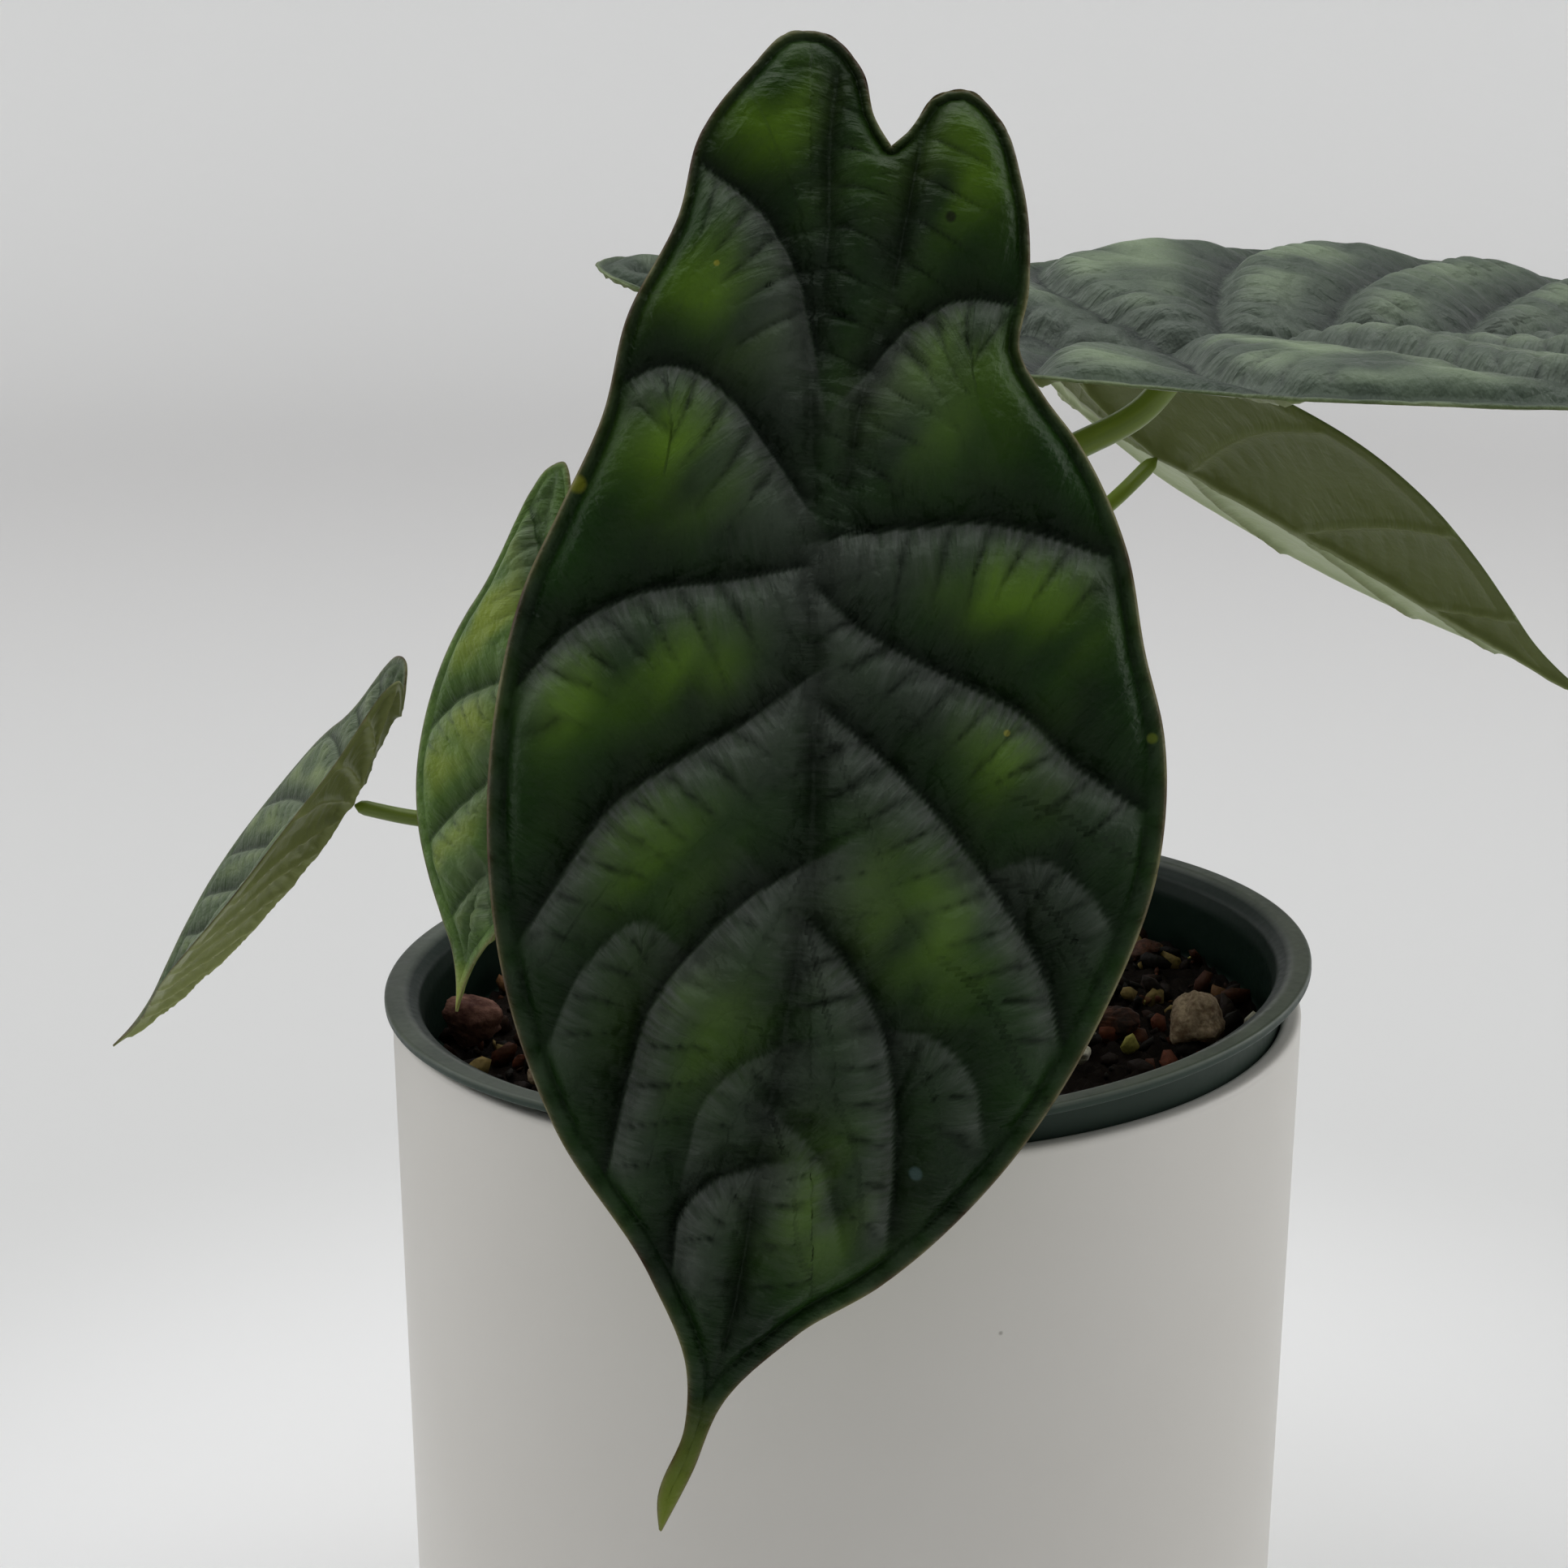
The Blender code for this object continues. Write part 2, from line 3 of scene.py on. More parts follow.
import bmesh
import bpy
import numpy as np
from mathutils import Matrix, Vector


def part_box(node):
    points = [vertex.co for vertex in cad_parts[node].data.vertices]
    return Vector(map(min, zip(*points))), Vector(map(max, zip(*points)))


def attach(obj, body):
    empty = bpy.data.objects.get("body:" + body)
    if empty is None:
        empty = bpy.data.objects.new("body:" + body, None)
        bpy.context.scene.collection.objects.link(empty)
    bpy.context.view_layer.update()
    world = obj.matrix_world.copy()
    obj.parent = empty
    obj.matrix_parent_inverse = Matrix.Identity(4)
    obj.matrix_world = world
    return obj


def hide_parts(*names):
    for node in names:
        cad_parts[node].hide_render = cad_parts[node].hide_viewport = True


# The looks of a potted alocasia: five quilted leaves on slim stalks, a chunky bark mix in a
# dark nursery pot, and the white ceramic cachepot that holds it. Metres, +Z up, the origin
# at the centre of the cachepot's foot, the front leaf towards -Y.
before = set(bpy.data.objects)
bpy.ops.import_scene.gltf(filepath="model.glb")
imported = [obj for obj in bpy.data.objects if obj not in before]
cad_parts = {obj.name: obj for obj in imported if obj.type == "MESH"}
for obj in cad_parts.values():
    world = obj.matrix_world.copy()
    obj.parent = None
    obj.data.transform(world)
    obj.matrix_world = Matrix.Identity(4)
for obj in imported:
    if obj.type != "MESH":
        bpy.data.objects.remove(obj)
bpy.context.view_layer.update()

# ---------------------------------------------------------------- camera
# A 65 mm lens in front of the plant and a little above the pot's rim, turned 15 degrees
# down. Colours are shown as they are, with no film curve.
lens = bpy.data.cameras.new("camera")
lens.lens = 65.22
lens.sensor_width = 36.0
camera = bpy.data.objects.new("camera", lens)
camera.location = (-0.0085, -0.3735, 0.2505)
camera.rotation_euler = (math.radians(74.8), 0.0, 0.0)
bpy.context.scene.collection.objects.link(camera)
bpy.context.scene.camera = camera
bpy.context.scene.view_settings.view_transform = "Standard"

# ---------------------------------------------------------------- cachepot
# A plain cylinder of slip-cast ceramic with a satin white glaze, nearly matte, whose wall
# narrows a little towards the foot. The foot's edge is rounded and the rim is thin.
CERAMIC_WALL = 0.0026
CERAMIC_FLOOR = 0.005
CERAMIC_TAPER = 0.0013
SPECK_SPACING_MM = 26.0
POT_AROUND = 192

rim_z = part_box("cachepot")[1].z
ceramic_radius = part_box("cachepot")[1].x


def linear(code):
    """An sRGB hex colour as linear red, green, blue and alpha."""
    srgb = np.array([int(code[i:i + 2], 16) for i in (1, 3, 5)]) / 255
    level = np.where(srgb <= 0.04045, srgb / 12.92, ((srgb + 0.055) / 1.055) ** 2.4)
    return (*(float(value) for value in level), 1.0)


def node(tree, kind, inputs=None, **settings):
    """One shader node with its settings, each input given by name or number as a value or
    as the socket that feeds it."""
    made = tree.nodes.new("ShaderNode" + kind)
    for key, value in settings.items():
        setattr(made, key, value)
    for key, value in (inputs or {}).items():
        if isinstance(value, bpy.types.NodeSocket):
            tree.links.new(value, made.inputs[key])
        else:
            made.inputs[key].default_value = value
    return made


def finish(name, constants):
    """A new material and its Principled shader, with the values that hold all over it."""
    made = bpy.data.materials.new(name)
    made.use_nodes = True
    shader = made.node_tree.nodes["Principled BSDF"]
    for key, value in constants.items():
        shader.inputs[key].default_value = value
    return made, made.node_tree, shader


def noise(tree, place, size, detail, **inputs):
    """Fractal noise from 0 to 1 whose lumps are about the size given, in metres."""
    return node(tree, "TexNoise", {
        "Vector": place, "Scale": 1 / size, "Detail": detail, **inputs,
    }).outputs["Fac"]


def spread(tree, value, start, end, low=0.0, high=1.0):
    """The value mapped from start..end to low..high, and held at the ends."""
    return node(tree, "MapRange", {
        "Value": value, "From Min": start, "From Max": end, "To Min": low, "To Max": high,
    }).outputs[0]


def blend(tree, share, start, end):
    """A colour between two, each given as a hex code or as the socket that feeds it."""
    start, end = (linear(each) if isinstance(each, str) else each for each in (start, end))
    return node(tree, "Mix", {0: share, 6: start, 7: end}, data_type="RGBA").outputs[2]


def dented(tree, shader, height, distance, strength):
    """Dents the shader's surface by a height of 0 to 1, times the distance in metres."""
    dents = node(tree, "Bump", {"Height": height, "Distance": distance, "Strength": strength})
    tree.links.new(dents.outputs[0], shader.inputs["Normal"])


def ripples(points, size, seed, count=16):
    """Smooth unevenness about as strong as a sine: the sum of sines that run in seeded
    directions, with wavelengths round the size given, divided by the root of their count."""
    draw = np.random.default_rng(seed)
    way = draw.normal(size=(points.shape[-1], count))
    way *= 2 * math.pi / (size * draw.uniform(0.6, 1.6, count) * np.linalg.norm(way, axis=0))
    return np.sin(points @ way + draw.uniform(0, 2 * math.pi, count)).sum(-1) / math.sqrt(count)


def rounded(corners, count=5):
    """A profile from corners of (radius, height, rounding): each corner becomes a parabola
    that leaves and meets the straight sides at the rounding's distance, with one more point
    a little further along each side to keep the flats flat."""
    flat = np.array([corner[:2] for corner in corners], float)
    path = [flat[0]]
    for before, here, after, (_, _, size) in zip(flat, flat[1:], flat[2:], corners[1:-1]):
        back, on = before - here, after - here
        far_back, far_on = np.linalg.norm(back), np.linalg.norm(on)
        size = min(size, far_back / 3, far_on / 3)
        start, end = here + back / far_back * size, here + on / far_on * size
        t = np.linspace(0, 1, count)[:, None]
        path += [start + back / far_back * size * 0.3]
        path += list((1 - t) ** 2 * start + 2 * t * (1 - t) * here + t**2 * end)
        path += [end + on / far_on * size * 0.3]
    return np.array(path + [flat[-1]])


def turned(profile, around):
    """Rings round Z, one for each (radius, height) of the profile."""
    turn = np.linspace(0, 2 * math.pi, around, endpoint=False)
    radius, height = profile[:, :1], profile[:, 1:]
    return np.stack([radius * np.cos(turn), radius * np.sin(turn), height + 0 * turn], -1)


def lofted(name, rings, material):
    """A closed skin over rings of points: each ring joins the next, and the first and last
    close on the middle of their own points. The faces point out of the enclosed volume."""
    rows, around = rings.shape[:2]
    index = np.arange(rows * around).reshape(rows, around)
    on = np.roll(index, -1, axis=1)
    points = np.concatenate([rings.reshape(-1, 3), [rings[0].mean(0), rings[-1].mean(0)]])
    quads = np.stack([index[:-1], on[:-1], on[1:], index[1:]], -1).reshape(-1, 4)
    first, last = np.full(around, rows * around), np.full(around, rows * around + 1)
    fans = np.concatenate([
        np.stack([on[0], index[0], first], -1), np.stack([index[-1], on[-1], last], -1),
    ])
    middle = points.mean(0)
    a, b, c, d = (points[quads[:, i]] - middle for i in range(4))
    volume = (a * np.cross(b, c)).sum() + (a * np.cross(c, d)).sum()
    if volume < 0:
        quads, fans = quads[:, ::-1], fans[:, ::-1]
    return skin(name, points, quads, fans, material)


def skin(name, points, quads, fans, material):
    """A smooth-shaded mesh object of points, four-sided faces and three-sided faces."""
    data = bpy.data.meshes.new(name)
    data.vertices.add(len(points))
    data.vertices.foreach_set("co", np.asarray(points, np.float32).ravel())
    corners = np.concatenate([quads.ravel(), fans.ravel()]).astype(np.int32)
    sides = np.concatenate([np.full(len(quads), 4), np.full(len(fans), 3)])
    data.loops.add(len(corners))
    data.loops.foreach_set("vertex_index", corners)
    data.polygons.add(len(sides))
    data.polygons.foreach_set("loop_start", (np.cumsum(sides) - sides).astype(np.int32))
    data.update(calc_edges=True)
    data.validate()
    data.shade_smooth()
    data.materials.append(material)
    made = bpy.data.objects.new(name, data)
    bpy.context.scene.collection.objects.link(made)
    return made


# The glaze is white with a warm cast, dulled, with a few pinhole specks and faint clouding.
glaze, tree, shader = finish("satin_white_glaze", {"Roughness": 0.42, "IOR": 1.5})
where = node(tree, "TexCoord").outputs["Object"]
white = blend(tree, noise(tree, where, 0.045, 3.0), "#dedad3", "#e6e3dd")
speck = node(tree, "TexVoronoi", {"Vector": where, "Scale": 1000 / SPECK_SPACING_MM})
close = spread(tree, speck.outputs["Distance"], 0.004, 0.014, 0.55, 0.0)
specked = blend(tree, close, white, "#6d6458")
tree.links.new(specked, shader.inputs["Base Color"])
dented(tree, shader, noise(tree, where, 0.0014, 2.0), 0.00003, 0.5)

foot_radius = ceramic_radius - CERAMIC_TAPER
cachepot_profile = rounded((
    (0.0, 0.0, 0), (foot_radius - 0.006, 0.0, 0.001), (foot_radius - 0.005, 0.0006, 0.001),
    (foot_radius - 0.0025, 0.0, 0.0006), (foot_radius, 0.0008, 0.0016),
    (ceramic_radius, rim_z, 0.0011), (ceramic_radius - CERAMIC_WALL, rim_z, 0.0011),
    (foot_radius - CERAMIC_WALL, CERAMIC_FLOOR, 0.004), (0.0, CERAMIC_FLOOR, 0),
))
rings = turned(cachepot_profile, POT_AROUND)
swell = 1 + 0.0012 * ripples(rings, 0.11, 3)
rings[..., :2] *= swell[..., None]
cachepot = lofted("white_cachepot", rings, glaze)
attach(cachepot, "root")
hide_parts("cachepot")

# ---------------------------------------------------------------- nursery pot
# A thin pot, injection moulded in dark green polypropylene. Its flat lip hangs on the
# ceramic rim and its upright collar steps in to a tapered body with drain holes. It leans,
# the lip higher at +X.
LIP_WIDTH = 0.0024
LIP_THICKNESS = 0.0013
COLLAR_HEIGHT = 0.012
COLLAR_STEP = 0.0009
COLLAR_PLAY = 0.0001
NURSERY_WALL = 0.0011
RESERVOIR_DEPTH = 0.009
NURSERY_TAPER = 0.013
NURSERY_TILT = math.radians(2.7)
CLEARANCE = 0.0003
DRAIN_RADIUS = 0.0050
DRAIN_CIRCLE = 0.030
DRAIN_COUNT = 6
SCRATCH_MM = 1.1

nursery_height = rim_z - CERAMIC_FLOOR - RESERVOIR_DEPTH
lip_radius = (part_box("nursery_pot")[1].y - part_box("nursery_pot")[0].y) / 2
seat_z = rim_z + LIP_THICKNESS + CLEARANCE + lip_radius * math.tan(NURSERY_TILT)
bore = ceramic_radius - CERAMIC_WALL - COLLAR_PLAY
collar_radius = (bore - COLLAR_HEIGHT * math.sin(NURSERY_TILT)) / math.cos(NURSERY_TILT)


def seated(points):
    """Points of the nursery pot's own frame, turned by its lean and lifted to its seat."""
    cos, sin = math.cos(NURSERY_TILT), math.sin(NURSERY_TILT)
    x, y, z = points[..., 0], points[..., 1], points[..., 2]
    return np.stack([x * cos - z * sin, y, seat_z + x * sin + z * cos], -1)


# Moulded polypropylene is satin, with fine scuffs round the lip where it rubs; the lip's top
# is painted paler as a highlight, broken up by the scuffs.
plastic, tree, shader = finish("dark_green_polypropylene", {"IOR": 1.49})
where = node(tree, "TexCoord").outputs["Object"]
lean = (-math.sin(NURSERY_TILT), 0.0, math.cos(NURSERY_TILT))
height = node(tree, "VectorMath", {0: where, 1: lean}, operation="DOT_PRODUCT").outputs["Value"]
lip_height = seat_z * math.cos(NURSERY_TILT)
# The band at the lip's top: painted paler there as a highlight, broken up by scuff noise.
worn = spread(tree, height, lip_height - 0.0006, lip_height - 0.0001)
dust = noise(tree, where, 0.009, 5.0, Roughness=0.65)
lip_highlight_and_scuffs = node(tree, "Math", {0: worn, 1: dust}, operation="MULTIPLY", use_clamp=True).outputs[0]
# The inside is painted darker as shade and the outside lighter: the outside is where the surface
# faces away from the pot's middle.
facing = node(tree, "NewGeometry").outputs["Normal"]
from_seat = node(tree, "VectorMath", {0: where, 1: (0.0, 0.0, seat_z)}, operation="SUBTRACT")
outward = node(tree, "VectorMath", {0: from_seat.outputs[0], 1: facing},
               operation="DOT_PRODUCT").outputs["Value"]
plain = blend(tree, spread(tree, outward, 0.010, 0.035), "#11221a", "#35423a")
tree.links.new(blend(tree, lip_highlight_and_scuffs, plain, "#5c6556"), shader.inputs["Base Color"])
tree.links.new(spread(tree, worn, 0.0, 1.0, 0.16, 0.6), shader.inputs["Specular IOR Level"])
scuffs = noise(tree, where, SCRATCH_MM / 1000, 3.0)
tree.links.new(spread(tree, scuffs, 0.0, 1.0, 0.30, 0.58), shader.inputs["Roughness"])
dented(tree, shader, scuffs, 0.00003, 0.6)

body_radius = collar_radius - COLLAR_STEP
base_radius = body_radius - NURSERY_TAPER
nursery_profile = rounded((
    (0.0, -nursery_height, 0), (base_radius - 0.001, -nursery_height, 0.0015),
    (base_radius + 0.001, -nursery_height + 0.003, 0.0015),
    (body_radius, -COLLAR_HEIGHT - COLLAR_STEP, 0.0006),
    (collar_radius, -COLLAR_HEIGHT, 0.0006), (collar_radius, -LIP_THICKNESS, 0.0005),
    (lip_radius, -LIP_THICKNESS, 0.0004), (lip_radius, 0.0, 0.0005),
    (lip_radius - LIP_WIDTH, 0.0, 0.0004),
    (collar_radius - 0.0004, -LIP_THICKNESS, 0.0006),
    (collar_radius - NURSERY_WALL, -3 * LIP_THICKNESS, 0.0006),
    (collar_radius - NURSERY_WALL, -COLLAR_HEIGHT, 0.0006),
    (body_radius - NURSERY_WALL, -COLLAR_HEIGHT - COLLAR_STEP, 0.0006),
    (base_radius - NURSERY_WALL, -nursery_height + NURSERY_WALL, 0.002),
    (0.0, -nursery_height + NURSERY_WALL, 0),
))
nursery = lofted("leaning_nursery_pot", seated(turned(nursery_profile, POT_AROUND)), plastic)
drain_profile = np.array([(0.0, -0.004), (DRAIN_RADIUS, -0.004), (DRAIN_RADIUS, 0.004), (0.0, 0.004)])
drains = []
for turn in np.linspace(0, 2 * math.pi, DRAIN_COUNT, endpoint=False):
    spot = [DRAIN_CIRCLE * math.cos(turn), DRAIN_CIRCLE * math.sin(turn), -nursery_height]
    drains.append(lofted("drain", seated(turned(drain_profile, 24) + spot), plastic))
    step = nursery.modifiers.new("drain", "BOOLEAN")
    step.object = drains[-1]
bpy.context.view_layer.update()
pierced = bpy.data.meshes.new_from_object(nursery.evaluated_get(bpy.context.evaluated_depsgraph_get()))
nursery.modifiers.clear()
nursery.data = pierced
for drain in drains:
    bpy.data.objects.remove(drain)
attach(nursery, "root")
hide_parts("nursery_pot")

# ---------------------------------------------------------------- potting mix
# Damp bark, coir and grit fill the pot to below its lip. The surface is lumpy, and loose
# crumbs of every size lie on it, most of them dark, a few tan, rust or off-white.
SOIL_DROP = 0.0110
SOIL_CROWN = 0.0030
MIX_LUMP_MM = 5.0
MIX_AROUND = 240
CRUMB_COUNT = 1500
CRUMB_TINTS = ("#120c07", "#1c1009", "#2c190e", "#42210f", "#5c2f1d", "#6b4a2c", "#857143",
               "#a39c50", "#c9c4b0")
CRUMB_SHARES = (0.27, 0.19, 0.13, 0.11, 0.09, 0.07, 0.06, 0.05, 0.03)

mix_radius = body_radius - NURSERY_WALL - CLEARANCE


def mix_surface(radius, turn):
    """The mix's surface over the pot's own frame: a shallow dome with lumps of about 5 mm
    and finer crumbs, as heights in metres."""
    flat = np.stack([radius * np.cos(turn), radius * np.sin(turn)], -1)
    lumps = 0.0008 * np.abs(ripples(flat, MIX_LUMP_MM / 1000, 11))
    fine = 0.0004 * ripples(flat, MIX_LUMP_MM / 2500, 12)
    return -SOIL_DROP - 0.0008 + SOIL_CROWN * (1 - (radius / mix_radius) ** 2) + lumps + fine


# Wet organic crumbs: almost black in the pores, and a dull sheen where they are damp.
damp_mix, tree, shader = finish("damp_bark_mix", {
    "Roughness": 0.85, "IOR": 1.4, "Specular IOR Level": 0.15,
})
where = node(tree, "TexCoord").outputs["Object"]
crumble = noise(tree, where, 0.002, 6.0, Roughness=0.7)
tree.links.new(blend(tree, crumble, "#080604", "#1e140d"), shader.inputs["Base Color"])
dented(tree, shader, crumble, 0.0008, 1.0)

turn = np.linspace(0, 2 * math.pi, MIX_AROUND, endpoint=False)
reach = (np.linspace(0.002, 1, 90) * mix_radius)[:, None]
top = np.stack(
    [reach * np.cos(turn), reach * np.sin(turn), mix_surface(reach + 0 * turn, turn + 0 * reach)], -1
)
mix_base = -nursery_height + NURSERY_WALL + CLEARANCE
sides = turned(np.array([
    (mix_radius, -COLLAR_HEIGHT - COLLAR_STEP),
    (base_radius - NURSERY_WALL - CLEARANCE, mix_base + 0.003),
    (base_radius - 0.004, mix_base),
]), MIX_AROUND)
potting_mix = lofted("potting_mix_bed", seated(np.concatenate([top, sides])), damp_mix)
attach(potting_mix, "root")
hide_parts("potting_mix")

# The crumbs are one scattered piece: twelve-cornered lumps, stretched, turned and tinted
# each by its own seeded draw.
crumb_finish, tree, shader = finish("bark_crumbs", {
    "Roughness": 0.7, "IOR": 1.4, "Specular IOR Level": 0.25,
})
where = node(tree, "TexCoord").outputs["Object"]
tint = node(tree, "Attribute", attribute_name="tint").outputs["Color"]
fibre = noise(tree, where, 0.0009, 4.0)
shade = spread(tree, fibre, 0.0, 1.0, 0.45, 1.35)
toned = node(tree, "Mix", {0: 1.0, 6: tint, 7: shade}, data_type="RGBA", blend_type="MULTIPLY")
tree.links.new(toned.outputs[2], shader.inputs["Base Color"])
dented(tree, shader, fibre, 0.0004, 0.8)


def icosahedron():
    """The twelve corners, of length 1, and twenty faces of an icosahedron, from Blender's
    own primitive."""
    ball = bmesh.new()
    bmesh.ops.create_icosphere(ball, subdivisions=1, radius=1.0)
    corners = np.array([corner.co for corner in ball.verts])
    faces = np.array([[corner.index for corner in face.verts] for face in ball.faces])
    ball.free()
    return corners, faces


def turns(draw, count):
    """Random rotation matrices, from normalised random quaternions."""
    w, x, y, z = draw.normal(size=(4, count))
    size = np.sqrt(w * w + x * x + y * y + z * z)
    w, x, y, z = w / size, x / size, y / size, z / size
    return np.stack([
        np.stack([1 - 2 * (y * y + z * z), 2 * (x * y - z * w), 2 * (x * z + y * w)], -1),
        np.stack([2 * (x * y + z * w), 1 - 2 * (x * x + z * z), 2 * (y * z - x * w)], -1),
        np.stack([2 * (x * z - y * w), 2 * (y * z + x * w), 1 - 2 * (x * x + y * y)], -1),
    ], -2)


draw = np.random.default_rng(27)
lump, lump_faces = icosahedron()
distance = mix_radius * np.sqrt(draw.uniform(0.05, 0.98, CRUMB_COUNT))
bearing = draw.uniform(0, 2 * math.pi, CRUMB_COUNT)
length = 0.0006 + 0.0024 * draw.uniform(0, 1, CRUMB_COUNT) ** 2.2
stretch = np.stack([length, length * draw.uniform(0.4, 0.8, CRUMB_COUNT),
                    length * draw.uniform(0.25, 0.6, CRUMB_COUNT)], -1)
crumbs = lump[None] * draw.uniform(0.75, 1.25, (CRUMB_COUNT, len(lump), 1)) * stretch[:, None]
crumbs = np.einsum("nij,nkj->nki", turns(draw, CRUMB_COUNT), crumbs)
centre = np.stack([
    distance * np.cos(bearing), distance * np.sin(bearing),
    mix_surface(distance, bearing) + 0.35 * length,
], -1)
crumbs = seated(crumbs + centre[:, None])
faces = (lump_faces[None] + len(lump) * np.arange(CRUMB_COUNT)[:, None, None]).reshape(-1, 3)
scatter = skin("mix_crumbs", crumbs.reshape(-1, 3), np.zeros((0, 4), int), faces, crumb_finish)
tints = np.array([linear(code) for code in CRUMB_TINTS])
picked = tints[draw.choice(len(tints), CRUMB_COUNT, p=CRUMB_SHARES)]
colour = scatter.data.attributes.new("tint", "FLOAT_COLOR", "POINT")
colour.data.foreach_set("color", np.repeat(picked, len(lump), axis=0).astype(np.float32).ravel())
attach(scatter, "root")

# ---------------------------------------------------------------- loose chips on the mix
# The larger loose pieces: pine bark, tan coconut husk, one pink lava stone and grains of
# white perlite. Each is broken, so it has flat breaks, worn corners and its own grain.
# A kind gives its finish's name, dark and pale colours, grain in metres and roughness.
CHIP_KINDS = {
    "stone": ("pink_lava_stone", "#4a2c26", "#8d6658", 0.0011, 0.9),
    "husk": ("coconut_husk", "#5a4632", "#a8957a", 0.0006, 0.85),
    "bark": ("pine_bark", "#1f120c", "#5a3423", 0.0008, 0.75),
    "perlite": ("expanded_perlite", "#a39f8c", "#dedac8", 0.0007, 0.9),
}
# Each chip fills the place of its node: (name, kind).
CHIPS = (
    ("lava_stone_left", "stone"), ("bark_chunk_right", "husk"), ("bark_chip_back", "bark"),
    ("bark_chip_front_right", "bark"), ("bark_chip_front_left", "husk"),
    ("bark_chip_left", "bark"), ("bark_chip_far", "bark"), ("bark_chip_near", "bark"),
    ("husk_chip_back_left", "husk"), ("husk_chip_inner", "husk"),
    ("perlite_front_right", "perlite"), ("perlite_left", "perlite"),
    ("perlite_back", "perlite"), ("perlite_near_left", "perlite"),
)

BREAKS = 11
BREAK_SHARPNESS = 14

chip_finishes = {}
for kind, (name, dark, pale, grain, dullness) in CHIP_KINDS.items():
    made, tree, shader = finish(name, {"Roughness": dullness, "Specular IOR Level": 0.25})
    where = node(tree, "TexCoord").outputs["Object"]
    grit = noise(tree, where, grain, 5.0, Roughness=0.6)
    cloud = noise(tree, where, 4 * grain, 2.0)
    both = node(tree, "Math", {0: grit, 1: cloud}, operation="MULTIPLY").outputs[0]
    colour = blend(tree, spread(tree, both, 0.12, 0.42), dark, pale)
    tree.links.new(colour, shader.inputs["Base Color"])
    dented(tree, shader, grit, grain / 2, 0.9)
    chip_finishes[kind] = made


def broken_lump(lowest, highest, seed, rows=40, around=56):
    """Rings of a lump that fills a box: a ball cut by seeded planes, each point drawn in
    along its own radius to a smooth minimum of its distances to the cuts (minus the log of
    the sum of exponentials, over the sharpness), with rough breaks."""
    draw = np.random.default_rng(seed)
    up = np.linspace(math.pi - 0.06, 0.06, rows)[:, None]
    turn = np.linspace(0, 2 * math.pi, around, endpoint=False)
    way = np.stack([np.sin(up) * np.cos(turn), np.sin(up) * np.sin(turn), np.cos(up) + 0 * turn], -1)
    cuts = draw.normal(size=(BREAKS, 3))
    cuts /= np.linalg.norm(cuts, axis=1)[:, None]
    depth = draw.uniform(0.72, 0.95, BREAKS)
    facing = np.maximum(way @ cuts.T, 0.05)
    cut = np.exp(-BREAK_SHARPNESS * np.minimum(depth / facing, 1.4)).sum(-1)
    radius = -np.log(cut) / BREAK_SHARPNESS
    radius = radius + 0.04 * ripples(way, 0.6, seed) + 0.018 * ripples(way, 0.18, seed + 1)
    lump = way * radius[..., None]
    low, high = lump.reshape(-1, 3).min(0), lump.reshape(-1, 3).max(0)
    return lowest + (lump - low) / (high - low) * (highest - lowest)


for seed, (name, kind) in enumerate(CHIPS):
    low, high = (np.array(corner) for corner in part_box(name))
    chip = lofted(name + "_broken", broken_lump(low, high, 40 + seed), chip_finishes[kind])
    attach(chip, "root")
    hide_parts(name)

# ---------------------------------------------------------------- corm
# The short swollen stem that the stalks grow from: brown, ringed by old leaf scars, with a
# papery skin.
SCAR_SPACING = 0.0016

skin_brown, tree, shader = finish("papery_corm_skin", {"Roughness": 0.8, "IOR": 1.4})
where = node(tree, "TexCoord").outputs["Object"]
paper = noise(tree, where, 0.0015, 5.0)
tree.links.new(blend(tree, paper, "#2a1a0e", "#7a5a38"), shader.inputs["Base Color"])
dented(tree, shader, paper, 0.0005, 0.8)

corm_low, corm_high = (np.array(corner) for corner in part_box("corm"))
corm_middle = (corm_low + corm_high) / 2
corm_radius = (corm_high[1] - corm_low[1]) / 2
rise = np.linspace(0, 1, 60)
narrowing = 1 - 0.45 * np.clip(1 - rise / 0.4, 0, 1) ** 2
shoulder = (1 - 0.9 * np.clip(rise - 0.93, 0, 1) / 0.07) ** 0.35
girth = corm_radius * narrowing * shoulder
girth *= 1 + 0.025 * np.sin(2 * math.pi * rise * (corm_high[2] - corm_low[2]) / SCAR_SPACING)
rings = turned(np.stack([girth, corm_low[2] + rise * (corm_high[2] - corm_low[2])], -1), 64)
rings[..., :2] *= (1 + 0.05 * ripples(rings, 0.012, 5))[..., None]
rings[..., :2] += corm_middle[:2]
corm = lofted("ringed_corm", rings, skin_brown)
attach(corm, "root")
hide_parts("corm")

# ---------------------------------------------------------------- leaf blades
# Living leaves, thick and stiff, quilted between sunken veins: each cell of the blade rises
# steeply from the vein above it and falls slowly to the one below. A vein runs all round
# just inside the rolled margin. The upper side has a dark, satin skin, greener where the
# cells are stretched, with painted shade above the veins, a painted sheen on the crests
# below them and a painted glow where light shines through; the underside is paler, with
# raised ribs.
# A blade is drawn flat in millimetres about the point where its stalk joins: first the
# distance to the blade's right, then the distance towards the tip.
FRONT_LEFT = (
    (9.0, -45.5), (7.3, -48.5), (5.8, -54.5), (1.3, -59.2), (-2.0, -59.3), (-7.0, -54.5),
    (-12.5, -46.5), (-14.7, -37.5), (-20.5, -25.5), (-23.0, -15.0), (-28.0, -4.0),
    (-31.5, 3.5), (-34.5, 15.0), (-35.8, 33.0), (-33.5, 50.0), (-28.5, 64.0), (-18.0, 81.0),
    (-14.0, 92.0), (-14.3, 98.5), (-17.4, 107.0), (-17.2, 111.3),
)
